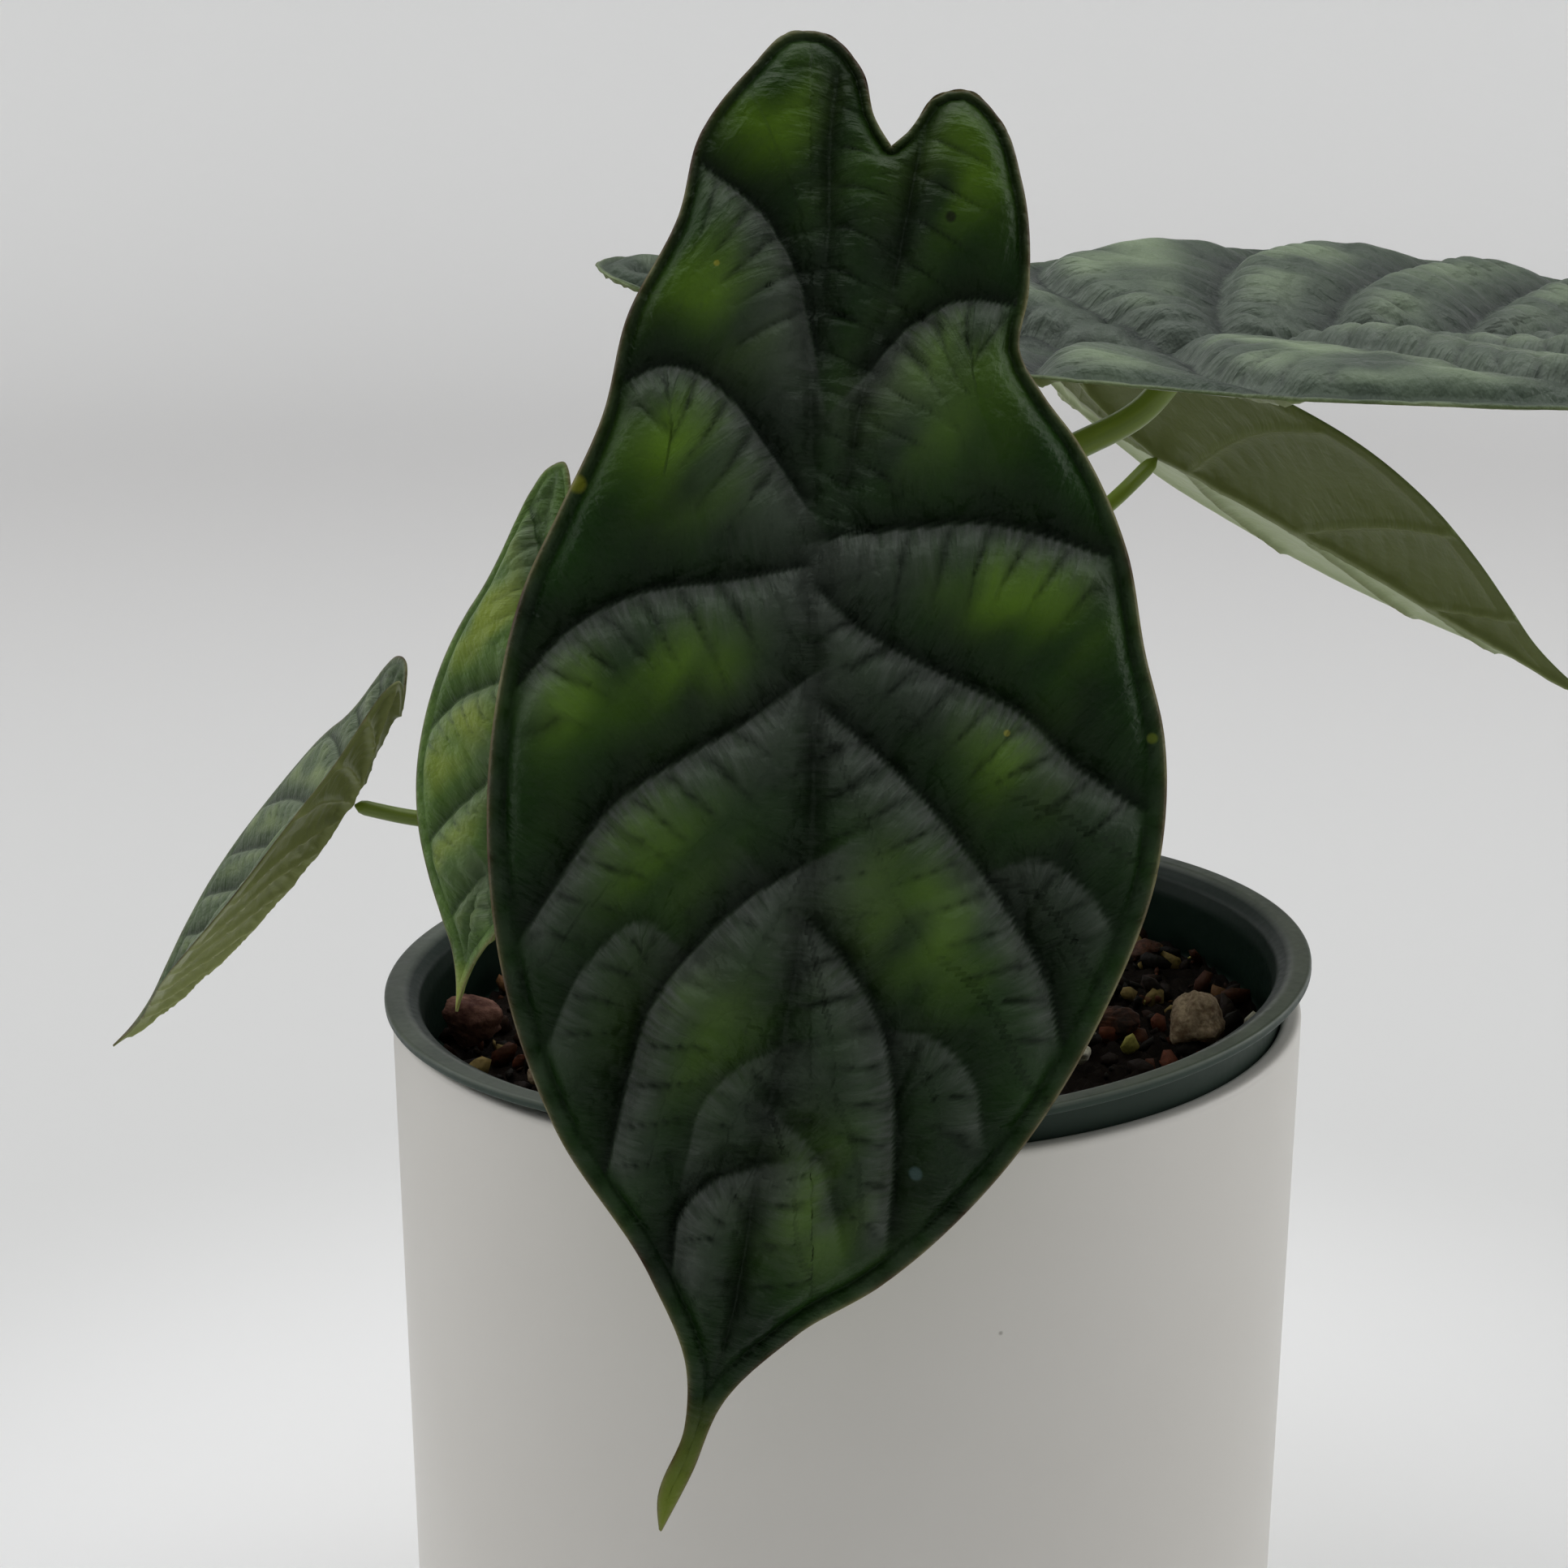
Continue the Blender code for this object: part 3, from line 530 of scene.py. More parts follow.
FRONT_RIGHT = (
    (9.0, -45.5), (11.0, -47.2), (14.0, -51.2), (17.5, -51.8), (21.0, -48.5), (23.5, -41.0),
    (24.1, -28.6), (23.1, -21.8), (25.5, -17.3), (29.5, -11.8), (34.8, 0.0), (36.8, 11.0),
    (39.0, 20.5), (38.5, 34.5), (32.5, 51.0), (20.5, 70.0), (8.0, 82.0), (-2.0, 88.3),
    (-10.0, 95.8), (-13.5, 104.0), (-17.2, 111.3),
)
FRONT_MIDDLE = (
    (9.0, -45.5), (7.4, -35.0), (4.6, -20.0), (0.0, 0.0), (0.3, 16.0), (-0.1, 34.0),
    (-2.7, 52.0), (-5.8, 68.7), (-9.5, 88.2), (-13.0, 98.5), (-17.2, 111.3),
)
# Veins as (kind, points). A lateral has its crest on the tip's side, a rib is even, and a
# branch is shallow.
FRONT_VEINS = (
    ("rib", ((0, 0), (0.3, 16), (0, 34), (-2.7, 52), (-5.8, 68.7), (-9.5, 88), (-13, 98))),
    ("rib", ((0, 0), (0, -16), (0.5, -25), (2, -36), (2, -44), (3, -54))),
    ("rib", ((1, -2), (3.6, -7), (5.4, -16), (7.3, -22.4), (10, -34), (12, -44), (13, -49))),
    ("lateral", ((-1, -6), (-5, -12), (-9, -17), (-12.5, -19.6), (-16, -20.5), (-20.5, -18.5))),
    ("lateral", ((0.3, -22.5), (-1.7, -31.7), (-5.4, -38), (-12, -43))),
    ("lateral", ((6.8, -20.6), (10.8, -25), (17, -28), (22.5, -27))),
    ("lateral", ((-1, 1.8), (-9, 3.2), (-20, 5), (-27, 9), (-32, 14.5))),
    ("lateral", ((-0.9, 14.4), (-7, 18.8), (-13.4, 22.4), (-22.4, 28.6), (-27, 35), (-31, 41))),
    ("lateral", ((-1, 35), (-7, 38.6), (-13.5, 44.8), (-18, 51), (-20, 57.5), (-22.6, 68.5))),
    ("branch", ((-13.5, 44.8), (-18.8, 40.8), (-25, 45.7), (-29, 54))),
    ("branch", ((-3, 55), (-8, 57), (-12, 61), (-14, 68))),
    ("lateral", ((-5.4, 68.7), (-11.7, 70.9), (-14.5, 74), (-15.4, 79))),
    ("lateral", ((1.8, -1.3), (10.8, -2.5), (19.7, -3), (26, -1.6), (32, 0.5))),
    ("lateral", ((0.9, 4.5), (5.4, 8.6), (10.8, 11.7), (18, 15.3), (23.3, 18), (28.7, 23.3), (35.5, 28))),
    ("lateral", ((1.4, 17.5), (7.2, 22.4), (13.5, 28.7), (19, 35.8), (22.5, 41), (26, 47.5), (27.5, 54))),
    ("lateral", ((0, 41.4), (3.7, 45.8), (7.3, 52), (9, 59.4), (9.2, 66.8), (8.7, 75))),
    ("branch", ((8.2, 53), (13.6, 54), (18, 58.4), (19, 64))),
    ("branch", ((19, 35.8), (25, 34), (31, 38), (34, 43))),
    ("branch", ((-4.5, 62.2), (1, 67.8), (2.8, 74))),
)
# Small spots as (across, along, size, colour), and bright patches as (across, along, size).
# The first spot is a water drop, painted as a grey reflection.
FRONT_MARKS = (
    (11.7, 69.0, 0.9, "#3f5250"), (21.5, 20.0, 0.45, "#8c8a3e"), (15.5, -36.5, 0.7, "#120c08"),
    (-25.8, -7.3, 1.2, "#757a1c"), (37.6, 20.6, 0.7, "#5c6a1c"), (-10.6, -31.2, 0.4, "#8c8a30"),
)
FRONT_GLOW = (
    (-14.5, -11, 5), (-11.5, -27, 5), (-4.5, -48, 6), (13.5, -19, 6), (16, -43, 5),
    (-12.5, 13.5, 4), (-27, 16, 4), (-18, 33, 5), (-13.5, 52, 5), (11, 41, 6), (18, 4, 3),
    (26, 5.5, 4), (22, 22.5, 4), (1, 72, 5),
)
# The usual blade: shares of the half width, and of the lobe length (up to the notch and
# the lobe tops) or of the body length (down to the tip).
USUAL_MARGIN = (
    (0.0, -0.76), (0.08, -0.87), (0.24, -1.0), (0.38, -0.95), (0.48, -0.81), (0.54, -0.64),
    (0.60, -0.44), (0.69, -0.25), (0.79, -0.11), (0.90, 0.04), (0.965, 0.13), (1.0, 0.26),
    (0.96, 0.40), (0.81, 0.54), (0.57, 0.665), (0.33, 0.765), (0.155, 0.84), (0.06, 0.91),
    (0.0, 1.0),
)
USUAL_MIDDLE = ((0.0, -0.76), (0.0, -0.4), (0.0, 0.0), (0.0, 0.3), (0.0, 0.65), (0.0, 1.0))
USUAL_VEINS = (
    ("rib", ((0.0, 0.0), (0.10, -0.30), (0.21, -0.62), (0.26, -0.92))),
    ("lateral", ((0.05, -0.16), (0.28, -0.30), (0.46, -0.38), (0.58, -0.40))),
    ("lateral", ((0.16, -0.45), (0.30, -0.58), (0.40, -0.68), (0.49, -0.74))),
    ("lateral", ((0.02, -0.02), (0.30, -0.07), (0.58, -0.10), (0.82, -0.04))),
    ("lateral", ((0.0, 0.05), (0.35, 0.10), (0.68, 0.17), (0.93, 0.27))),
    ("lateral", ((0.0, 0.16), (0.30, 0.23), (0.60, 0.34), (0.87, 0.46))),
    ("lateral", ((0.0, 0.30), (0.25, 0.38), (0.48, 0.47), (0.69, 0.585))),
    ("lateral", ((0.0, 0.45), (0.18, 0.52), (0.34, 0.60), (0.49, 0.68))),
    ("lateral", ((0.0, 0.60), (0.12, 0.66), (0.22, 0.72), (0.31, 0.77))),
    ("lateral", ((0.0, 0.74), (0.07, 0.785), (0.12, 0.82), (0.15, 0.84))),
)


def usual_blade(body, lobe, half_width, every=1):
    """Outline and veins of a usual blade: its shares times its sizes. The left veins start
    a little nearer the tip than the right ones, and some blades have every second vein."""
    def sized(line, side=1, shift=0.0):
        return tuple(
            (side * half_width * a, lobe * s if s < 0 else body * (s + shift * (0 < s < 0.8)))
            for a, s in line
        )
    veins = [("rib", sized(((0.0, 0.0), (0.0, 0.3), (0.0, 0.6), (0.0, 0.93))))]
    for kind, line in USUAL_VEINS[::every]:
        veins += [(kind, sized(line)), (kind, sized(line, -1, 0.022))]
    return {"outline": (sized(USUAL_MARGIN, -1), sized(USUAL_MARGIN), sized(USUAL_MIDDLE)),
            "veins": veins}


# For each leaf: its blade, where its stalk joins (x, y, height over the rim), heading, pitch
# below level and roll in degrees, the fold, curl and bends of its form, its stalk, the
# quilting's size against the front leaf's, the height of the cells in mm, its grid of
# rows, columns above and columns below, and its colours: of the veins with the painted
# shade above them, of the painted sheen on the crests below them, of the body, of the cells,
# of the bright patches, of the tip, below, and of the ribs.
LEAVES = {
    "front": {
        "outline": (FRONT_LEFT, FRONT_RIGHT, FRONT_MIDDLE),
        "veins": FRONT_VEINS,
        "marks": FRONT_MARKS,
        "joins": (-0.0055, -(lip_radius + 0.0005), 0.073),
        "pose": (-90, 75, 0),
        "form": (6, 4.0, 1.5, 3.5),
        "stalk": (-95, 3.0, 1.8, (0.0, -0.97, 0.24)),
        "between": ((-0.0020, -0.0150, 0.030), (-0.0040, -0.0340, 0.060)),
        "quilt": (1.0, 3.8),
        "gloss": 0.18,
        "grid": (330, 181, 121),
        "colours": ("#040804", "#656b64", "#0c2007", "#1a370a", "#567816", "#7b8a30", "#6f7d48", "#8d9a5e"),
    },
    "small_left": {
        **usual_blade(46.5, 23.5, 16.5, every=2),
        "joins": (-0.0396, -0.0309, 0.0547),
        "pose": (-136.9, 71.2, 2.3),
        "form": (8.5, 5.6, 1.5, 5.8),
        "stalk": (-150, 2.3, 1.2, (-0.66, -0.68, 0.33)),
        "between": ((-0.0130, -0.0090, 0.026), (-0.0250, -0.0190, 0.045)),
        "quilt": (0.60, 1.8),
        "grid": (220, 101, 81),
        "colours": ("#2b3d20", "#7f8c70", "#4d6a2c", "#648538", "#8b9c36", "#a9b44c", "#7c8a4c", "#98a566"),
    },
    "left": {
        **usual_blade(52.5, 21.0, 20.0),
        "joins": (-0.0687, 0.0040, 0.0255),
        "pose": (170.3, 55.4, -12.6),
        "form": (30.3, 16.5, -6.3, -6.8),
        "stalk": (155, 2.4, 1.1, (-0.97, 0.02, 0.22)),
        "between": ((-0.0220, 0.0060, 0.0135), (-0.0420, 0.0060, 0.0205)),
        "quilt": (0.45, 1.0),
        "grid": (240, 101, 101),
        "colours": ("#2f372b", "#808a76", "#50603f", "#627352", "#8a9a66", "#4a3a22", "#7c8450", "#949b62"),
    },
    "right_upper": {
        **usual_blade(140.0, 77.5, 50.7),
        "joins": (0.0436, 0.0041, 0.0874),
        "pose": (16.3, -2.4, 6.4),
        "form": (13.2, 7.0, 2.4, -3.8),
        "stalk": (25, 3.2, 1.9, (0.62, -0.05, 0.78)),
        "between": ((0.0120, 0.0050, 0.037), (0.0270, 0.0060, 0.072)),
        "quilt": (1.2, 3.6),
        "edge": ("#6f7f4c", "#98a674"),
        "grid": (320, 161, 101),
        "colours": ("#2c2f30", "#70786f", "#455045", "#5b6956", "#8fa080", "#5a6a30", "#6a7444", "#8a9560"),
    },
    "right_lower": {
        **usual_blade(79.0, 32.0, 28.0, every=2),
        "joins": (0.0517, 0.0790, 0.0625),
        "pose": (-23.0, 24.5, -36.0),
        "form": (15.2, 3.6, 0.7, -13.0),
        "stalk": (80, 2.5, 1.25, (0.70, 0.20, 0.68)),
        "between": ((0.0120, 0.0280, 0.026), (0.0320, 0.0560, 0.050)),
        "quilt": (0.9, 0.9),
        "through": 0.8,
        "edge": ("#5f6b34", "#7f8b52"),
        "grid": (260, 121, 121),
        "colours": ("#1d2a1c", "#4c564c", "#33482a", "#4a6236", "#75894a", "#5a6a30", "#565d2f", "#6e7745"),
    },
}


def smooth_line(points, share):
    """The smooth curve through the points, at shares 0 to 1 of the chord length: a cubic
    in each span, whose slopes are the gradients of the points along the chords."""
    points = np.array(points, float)
    along = np.concatenate([[0], np.cumsum(np.linalg.norm(np.diff(points, axis=0), axis=1))])
    slope = np.gradient(points, along, axis=0)
    at = np.clip(share, 0, 1) * along[-1]
    span = np.clip(np.searchsorted(along, at, side="right") - 1, 0, len(points) - 2)
    gap = (along[span + 1] - along[span])[:, None]
    t = (at - along[span])[:, None] / gap
    here, there = points[span], points[span + 1]
    start, end = slope[span] * gap, slope[span + 1] * gap
    return (
        (2 * t**3 - 3 * t**2 + 1) * here
        + (t**3 - 2 * t**2 + t) * start
        + (3 * t**2 - 2 * t**3) * there
        + (t**3 - t**2) * end
    )


def rolled_frame(heading, pitch, roll):
    """Unit vectors to the blade's right, to its tip and out of its upper face."""
    h, p, r = (math.radians(angle) for angle in (heading, pitch, roll))
    tip = np.array([math.cos(p) * math.cos(h), math.cos(p) * math.sin(h), -math.sin(p)])
    face = np.array([math.sin(p) * math.cos(h), math.sin(p) * math.sin(h), math.cos(p)])
    right = np.cross(face, tip)
    return (
        right * math.cos(r) + face * math.sin(r),
        tip,
        face * math.cos(r) - right * math.sin(r),
    )


def shaped(flat, leaf):
    """Flat points in mm, moved into space in metres: each half folds up from the midrib and
    curls back on an arc, and the midrib bends on one arc below the stalk and one above."""
    right, tip, face = rolled_frame(*leaf["pose"])
    fold, curl, body_bend, lobe_bend = leaf["form"]
    fold = math.radians(fold)
    across, along = flat[..., 0] / 1000, flat[..., 1] / 1000
    angle = fold - curl * np.abs(across)
    out = np.sign(across) * (math.sin(fold) - np.sin(angle)) / curl
    lift = (np.cos(angle) - math.cos(fold)) / curl
    bend = np.where(along > 0, body_bend, lobe_bend)
    turn = bend * along
    reach = np.sin(turn) / bend + lift * np.sin(turn)
    rise = (np.cos(turn) - 1) / bend + lift * np.cos(turn)
    x, y, height = leaf["joins"]
    joins = np.array([x, y, rim_z + height])
    return joins + out[..., None] * right + reach[..., None] * tip + rise[..., None] * face


def nearest(flat, line):
    """For each flat point, its distance to a line, how far along the line the nearest place
    is, and the sine of the angle from the line's way to the point there: +1 or -1 beside the
    line, and through 0 beyond its ends."""
    best = np.full(len(flat), np.inf)
    along = np.zeros(len(flat))
    lean = np.zeros(len(flat))
    done = 0.0
    for start, end in zip(line[:-1], line[1:]):
        length = np.linalg.norm(end - start)
        way = (end - start) / length
        step = np.clip((flat - start) @ way, 0, length)
        off = flat - start - step[:, None] * way
        far = np.hypot(off[:, 0], off[:, 1])
        nearer = far < best
        best = np.where(nearer, far, best)
        along = np.where(nearer, done + step, along)
        side = (way[0] * off[:, 1] - way[1] * off[:, 0]) / np.maximum(far, 1e-6)
        lean = np.where(nearer, side, lean)
        done += length
    return best, along, lean


PLEAT_MM = 4.6
PLEAT_SLANT = 0.35
RUNG_MM = 5.5


def quilted(flat, leaf):
    """The relief of a blade in mm over its smooth sheet, and what its colours follow.
    Cells: the product over the veins of tanh(distance / reach), where a lateral's reach is
    short on its tip side and long on the other, so a cell rises steeply and falls slowly.
    Pleats: the root of |sin| of the way along a vein, slanted outward, times a fade that is
    0 on the vein, highest a few mm away and gone beyond that.
    Rim: cells fall to a vein inside the margin, and outside it stands a bead, the sine of
    the way across the band, crossed by rungs. The band is widest towards the tip.
    Colours: painted shade above a lateral, over the vein's own dark colour, and a painted
    sheen on the crest below it are exponentials of the distance, and crepe fades where two
    veins are equally near."""
    quilt, lift = leaf["quilt"]
    cells, pleats = np.ones(len(flat)), np.zeros(len(flat))
    near, grain = np.full(len(flat), 1e3), np.zeros(len(flat))
    second = np.full(len(flat), 2e3)
    dark, crest = np.zeros(len(flat)), np.zeros(len(flat))
    for kind, points in leaf["veins"]:
        line = smooth_line(points, np.linspace(0, 1, 22))
        far, along, lean = nearest(flat, line)
        tipward = lean * np.sign(line[-1, 0] - line[0, 0])
        share = {"lateral": 1.0, "branch": 0.6, "rib": 0.8}[kind]
        reach = quilt * (2.4 if kind == "rib" else 4.4 - 2.2 * tipward)
        cells *= 1 - share * (1 - np.tanh(far / reach))
        phase = math.pi * (along + PLEAT_SLANT * far) / (PLEAT_MM * quilt)
        fade = np.exp(-((far / (8.0 * quilt)) ** 2)) * (1 - np.exp(-far / (1.0 * quilt)))
        pleats += (np.abs(np.sin(phase)) ** 0.5 - 0.75) * fade * (0.75 + 0.25 * tipward)
        grain = np.where(far < near, along, grain)
        second = np.minimum(second, np.maximum(near, far))
        near = np.minimum(near, far)
        # On a lateral's tip side the crest gets a painted sheen; on the other side the crease gets painted
        # shade over the vein's own dark colour. A rib gets a little of each.
        side = np.clip(tipward * far / 0.35 + 0.5, 0, 1) if kind != "rib" else 0.25
        wide = 2.3 + 3.6 * np.exp(-along / (16 * quilt))
        crest = np.maximum(crest, share * side * np.exp(-far / (wide * quilt)))
        dark = np.maximum(dark, share * (1 - side) * np.exp(-far / (4.2 * quilt)))
    margins = [smooth_line(line, np.linspace(0, 1, 90)) for line in leaf["outline"][:2]]
    (left, left_along, _), (right, right_along, _) = (nearest(flat, line) for line in margins)
    inside = np.minimum(left, right)
    edge_along = np.where(left < right, left_along, right_along)
    rungs = np.abs(np.sin(math.pi * edge_along / (RUNG_MM * quilt)))
    band = 0.9 + quilt * np.clip(0.6 + flat[:, 1] / 60, 0.1, 1.2)
    inner = np.tanh(np.maximum(inside - band, 0) / (2.0 * quilt))
    bead = np.sin(math.pi * np.clip(inside / band, 0, 1)) ** 0.7 * (0.62 + 0.38 * rungs**0.4)
    waves = 0.12 * lift * ripples(flat, 24 * quilt, 8) + 0.05 * lift * ripples(flat, 7 * quilt, 9)
    rise = lift * cells * inner + 0.36 * lift * pleats * inner + 0.16 * lift * bead
    rise += (waves - 0.3 * lift) * np.tanh(inside / 6)
    groove = np.exp(-np.abs(inside - band) / (0.4 * quilt))
    in_band = np.clip((band - inside) * 4, 0, 1)
    # Painted shade in the groove inside the rim, between the rungs and in the pleat valleys, and a painted
    # sheen on the rung tops.
    dark = np.where(in_band > 0, dark * 0.5, dark)
    dark = np.maximum(dark, np.maximum(0.6 * groove, in_band * (0.6 - 0.6 * rungs**0.3)))
    dark = np.maximum(dark, np.clip(-1.5 * pleats * inner, 0, 0.6))
    crest = np.maximum(crest * inner, 0.14 * in_band * rungs)
    return {"rise": rise, "cells": cells * inner, "near": near, "grain": grain, "inside": inside,
            "dark": dark, "crest": crest,
            "crepe": np.clip((second - near) / (2.5 * quilt), 0, 1) * np.exp(-near / (14 * quilt))}


def glow_of(flat, leaf, field):
    """Where the blade is brightest, 0 to 1: round patches placed on the front leaf, and
    elsewhere the tops of the cells, thinned by slow unevenness."""
    if leaf["veins"] is FRONT_VEINS:
        spots = [
            np.exp(-((flat[:, 0] - a) ** 2 + (flat[:, 1] - s) ** 2) / (2 * size**2))
            for a, s, size in FRONT_GLOW
        ]
        patchy = np.clip(0.75 + 0.5 * ripples(flat, 9.0, 22), 0.15, 1)
        return np.clip(sum(spots), 0, 1) * (0.3 + 0.7 * field["cells"]) * patchy
    tops = np.clip((field["cells"] - 0.55) / 0.45, 0, 1)
    return tops * np.clip(0.6 + 0.7 * ripples(flat, 15 * leaf["quilt"][0], 21), 0, 1)


def leaf_skin(name, leaf, tip_from, tip_to):
    """The finish of one blade. Its colours follow attributes of the surface: tone holds the
    painted shade above a vein, the glow and the painted sheen on the crest below a vein;
    place the flat position and the side; and grain the way along and away from the nearest
    vein, and the nearness of the edge above or of a rib below. Marks are small round spots,
    gloss is the strength of the reflection, and through is how far light shines through the
    right half."""
    vein, painted_crest_sheen, body, cell, bright, tip, below, rib = leaf["colours"]
    quilt = leaf["quilt"][0]
    made, tree, shader = finish(name, {
        "IOR": 1.45, "Specular IOR Level": leaf.get("gloss", 0.26),
        "Specular Tint": (0.8, 1.0, 0.8, 1.0),
    })
    place = node(tree, "Attribute", attribute_name="place").outputs["Vector"]
    tone = node(tree, "Attribute", attribute_name="tone").outputs["Vector"]
    grain = node(tree, "Attribute", attribute_name="grain").outputs["Vector"]
    dark, glow, crest = node(tree, "SeparateXYZ", {0: tone}).outputs
    aside, down, under = node(tree, "SeparateXYZ", {0: place}).outputs
    _, _, line = node(tree, "SeparateXYZ", {0: grain}).outputs

    def product(a, b):
        return node(tree, "VectorMath", {0: a, 1: b}, operation="MULTIPLY").outputs[0]

    flat_place = product(place, (1.0, 1.0, 0.0))
    blotch = noise(tree, flat_place, 0.011 * quilt, 4.0)
    ground = blend(tree, spread(tree, blotch, 0.35, 0.65), body, cell)
    lit = blend(tree, glow, ground, bright)
    wrinkle = noise(tree, product(grain, (1.0, 0.16, 0.0)), 0.0009 * quilt, 3.0)
    share = node(tree, "Attribute", attribute_name="crepe").outputs["Fac"]
    crepe = node(tree, "Math", {0: spread(tree, wrinkle, 0.0, 1.0, -0.5, 0.5), 1: share, 2: 0.5},
                 operation="MULTIPLY_ADD").outputs[0]
    # The crests get a painted sheen in the crest colour, and the creases above the veins get painted shade
    # in the near-black vein colour.
    sheen = node(tree, "Math", {0: crest, 1: spread(tree, crepe, 0.35, 0.65, 0.55, 1.15)},
                 operation="MULTIPLY").outputs[0]
    skinned = blend(tree, dark, blend(tree, sheen, lit, painted_crest_sheen), vein)
    for across, along, size, code in leaf.get("marks", ()):
        spot = (across / 1000, along / 1000, 0.0)
        away = node(tree, "VectorMath", {0: flat_place, 1: spot}, operation="DISTANCE")
        inside = spread(tree, away.outputs["Value"], 0.0006 * size, 0.001 * size, 0.8, 0.0)
        skinned = blend(tree, inside, skinned, code)
    ended = blend(tree, spread(tree, down, tip_from, tip_to), skinned, tip)
    dull, clean = leaf.get("edge", ("#4a2a18", "#7d7650"))
    worn = blend(tree, spread(tree, blotch, 0.40, 0.60), dull, clean)
    pale = blend(tree, spread(tree, blotch, 0.2, 0.8), below, blend(tree, 0.35, below, rib))
    through = spread(tree, aside, 0.0, 0.003, 0.0, leaf.get("through", 0.0))
    pale = blend(tree, through, pale, "#a8b48c")
    both = blend(tree, under, blend(tree, line, ended, worn), blend(tree, line, pale, rib))
    tree.links.new(both, shader.inputs["Base Color"])

    net = node(tree, "TexVoronoi", {"Vector": flat_place, "Scale": 1000 / (3.4 * quilt)},
               feature="DISTANCE_TO_EDGE").outputs["Distance"]
    net = spread(tree, net, 0.0, 0.25, 0.0, 0.35)
    relief = node(tree, "Math", {0: crepe, 1: 1.8, 2: net}, operation="MULTIPLY_ADD").outputs[0]
    relief = node(tree, "Math", {0: noise(tree, flat_place, 0.0008 * quilt, 2.0), 1: 0.6, 2: relief},
                  operation="MULTIPLY_ADD").outputs[0]
    dented(tree, shader, relief, 0.00045 * quilt, spread(tree, under, 0.0, 1.0, 0.85, 0.25))
    tree.links.new(spread(tree, blotch, 0.0, 1.0, 0.34, 0.50), shader.inputs["Roughness"])
    return made


BLADE_THICKNESS = 0.5

for name, leaf in LEAVES.items():
    rows, above, beneath = leaf["grid"]
    quilt = leaf["quilt"][0]
    shares = np.linspace(0, 1, rows + 2)[1:-1] ** 1.3
    left, right, middle = (smooth_line(line, shares)[:, None] for line in leaf["outline"])
    width = np.concatenate([np.linspace(-1, 1, above), np.linspace(1, -1, beneath + 2)[1:-1]])
    side = np.repeat([0.0, 1.0], (above, beneath))
    across = np.abs(width)[None, :, None]
    margin = np.where(width[None, :, None] < 0, left, right)
    flat = (middle + (margin - middle) * across).reshape(-1, 2)
    under = np.tile(side, rows)
    field = quilted(flat, leaf)

    base = shaped(flat, leaf)
    normal = np.cross(
        shaped(flat + (0, 0.05), leaf) - base, shaped(flat + (0.05, 0), leaf) - base
    )
    normal /= np.linalg.norm(normal, axis=1)[:, None]
    rib_depth = 0.55 * math.sqrt(quilt) * np.exp(-((field["near"] / (0.7 * math.sqrt(quilt))) ** 2))
    thick = BLADE_THICKNESS * (0.5 + 0.5 * np.tanh(field["inside"])) + rib_depth
    rise = (field["rise"] - under * thick) / 1000
    points = base + normal * rise[:, None]

    finish_name = "alocasia_leaf_" + name
    body_length = leaf["outline"][2][-1][1]
    material = leaf_skin(finish_name, leaf, 0.00085 * body_length, 0.001 * body_length)
    blade = lofted(name + "_leaf_blade", points.reshape(rows, -1, 3), material)
    ends = np.array([leaf["outline"][2][0], leaf["outline"][2][-1]], float)
    place = np.column_stack([np.vstack([flat, ends]) / 1000, np.append(under, [0, 0])])
    tone = np.column_stack([field["dark"], glow_of(flat, leaf, field), field["crest"]])
    tone = np.vstack([tone, np.zeros((2, 3))])
    ribs = np.exp(-field["near"] / (0.6 * math.sqrt(quilt)))
    line = np.where(under > 0.5, ribs, np.exp(-field["inside"] / 0.24))
    grain = np.column_stack([field["grain"] / 1000, field["near"] / 1000, line])
    grain = np.vstack([grain, np.tile([0, 0, 1.0], (2, 1))])
    crepe = blade.data.attributes.new("crepe", "FLOAT", "POINT")
    crepe.data.foreach_set("value", np.append(field["crepe"], [0, 0]).astype(np.float32))
    for key, values in (("place", place), ("tone", tone), ("grain", grain)):
        layer = blade.data.attributes.new(key, "FLOAT_VECTOR", "POINT")
        layer.data.foreach_set("vector", values.astype(np.float32).ravel())
    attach(blade, "root")
    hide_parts("blade_" + name)

# ---------------------------------------------------------------- leaf stalks
# Each blade hangs from a smooth, solid stalk that grows from the corm. The stalk is thick
# and sheathing at its foot, slim at the blade, yellow-green, and a little browner below.
stalk_finish, tree, shader = finish("smooth_leaf_stalk", {"IOR": 1.42, "Coat Weight": 0.05})
streak = node(tree, "Attribute", attribute_name="streak").outputs["Vector"]
stretched = node(tree, "VectorMath", {0: streak, 1: (1.0, 0.06, 0.0)},
                 operation="MULTIPLY").outputs[0]
fibres = noise(tree, stretched, 0.0009, 3.0)
blotch = noise(tree, streak, 0.006, 3.0)
share = node(tree, "SeparateXYZ", {0: streak}).outputs[2]
young = blend(tree, fibres, "#5d7420", "#86993a")
foot = blend(tree, blotch, "#4c5a24", "#5b4a2c")
skin_colour = blend(tree, spread(tree, share, 0.05, 0.55), foot, young)
tree.links.new(skin_colour, shader.inputs["Base Color"])
tree.links.new(spread(tree, fibres, 0.0, 1.0, 0.32, 0.48), shader.inputs["Roughness"])
dented(tree, shader, fibres, 0.00012, 0.6)

CORM_RADIUS = 0.0115
CORM_RISE = 0.0070
STALK_CIRCLE = 0.66 * CORM_RADIUS

corm_top = np.array([0.0, 0.0, -SOIL_DROP + SOIL_CROWN + CORM_RISE])


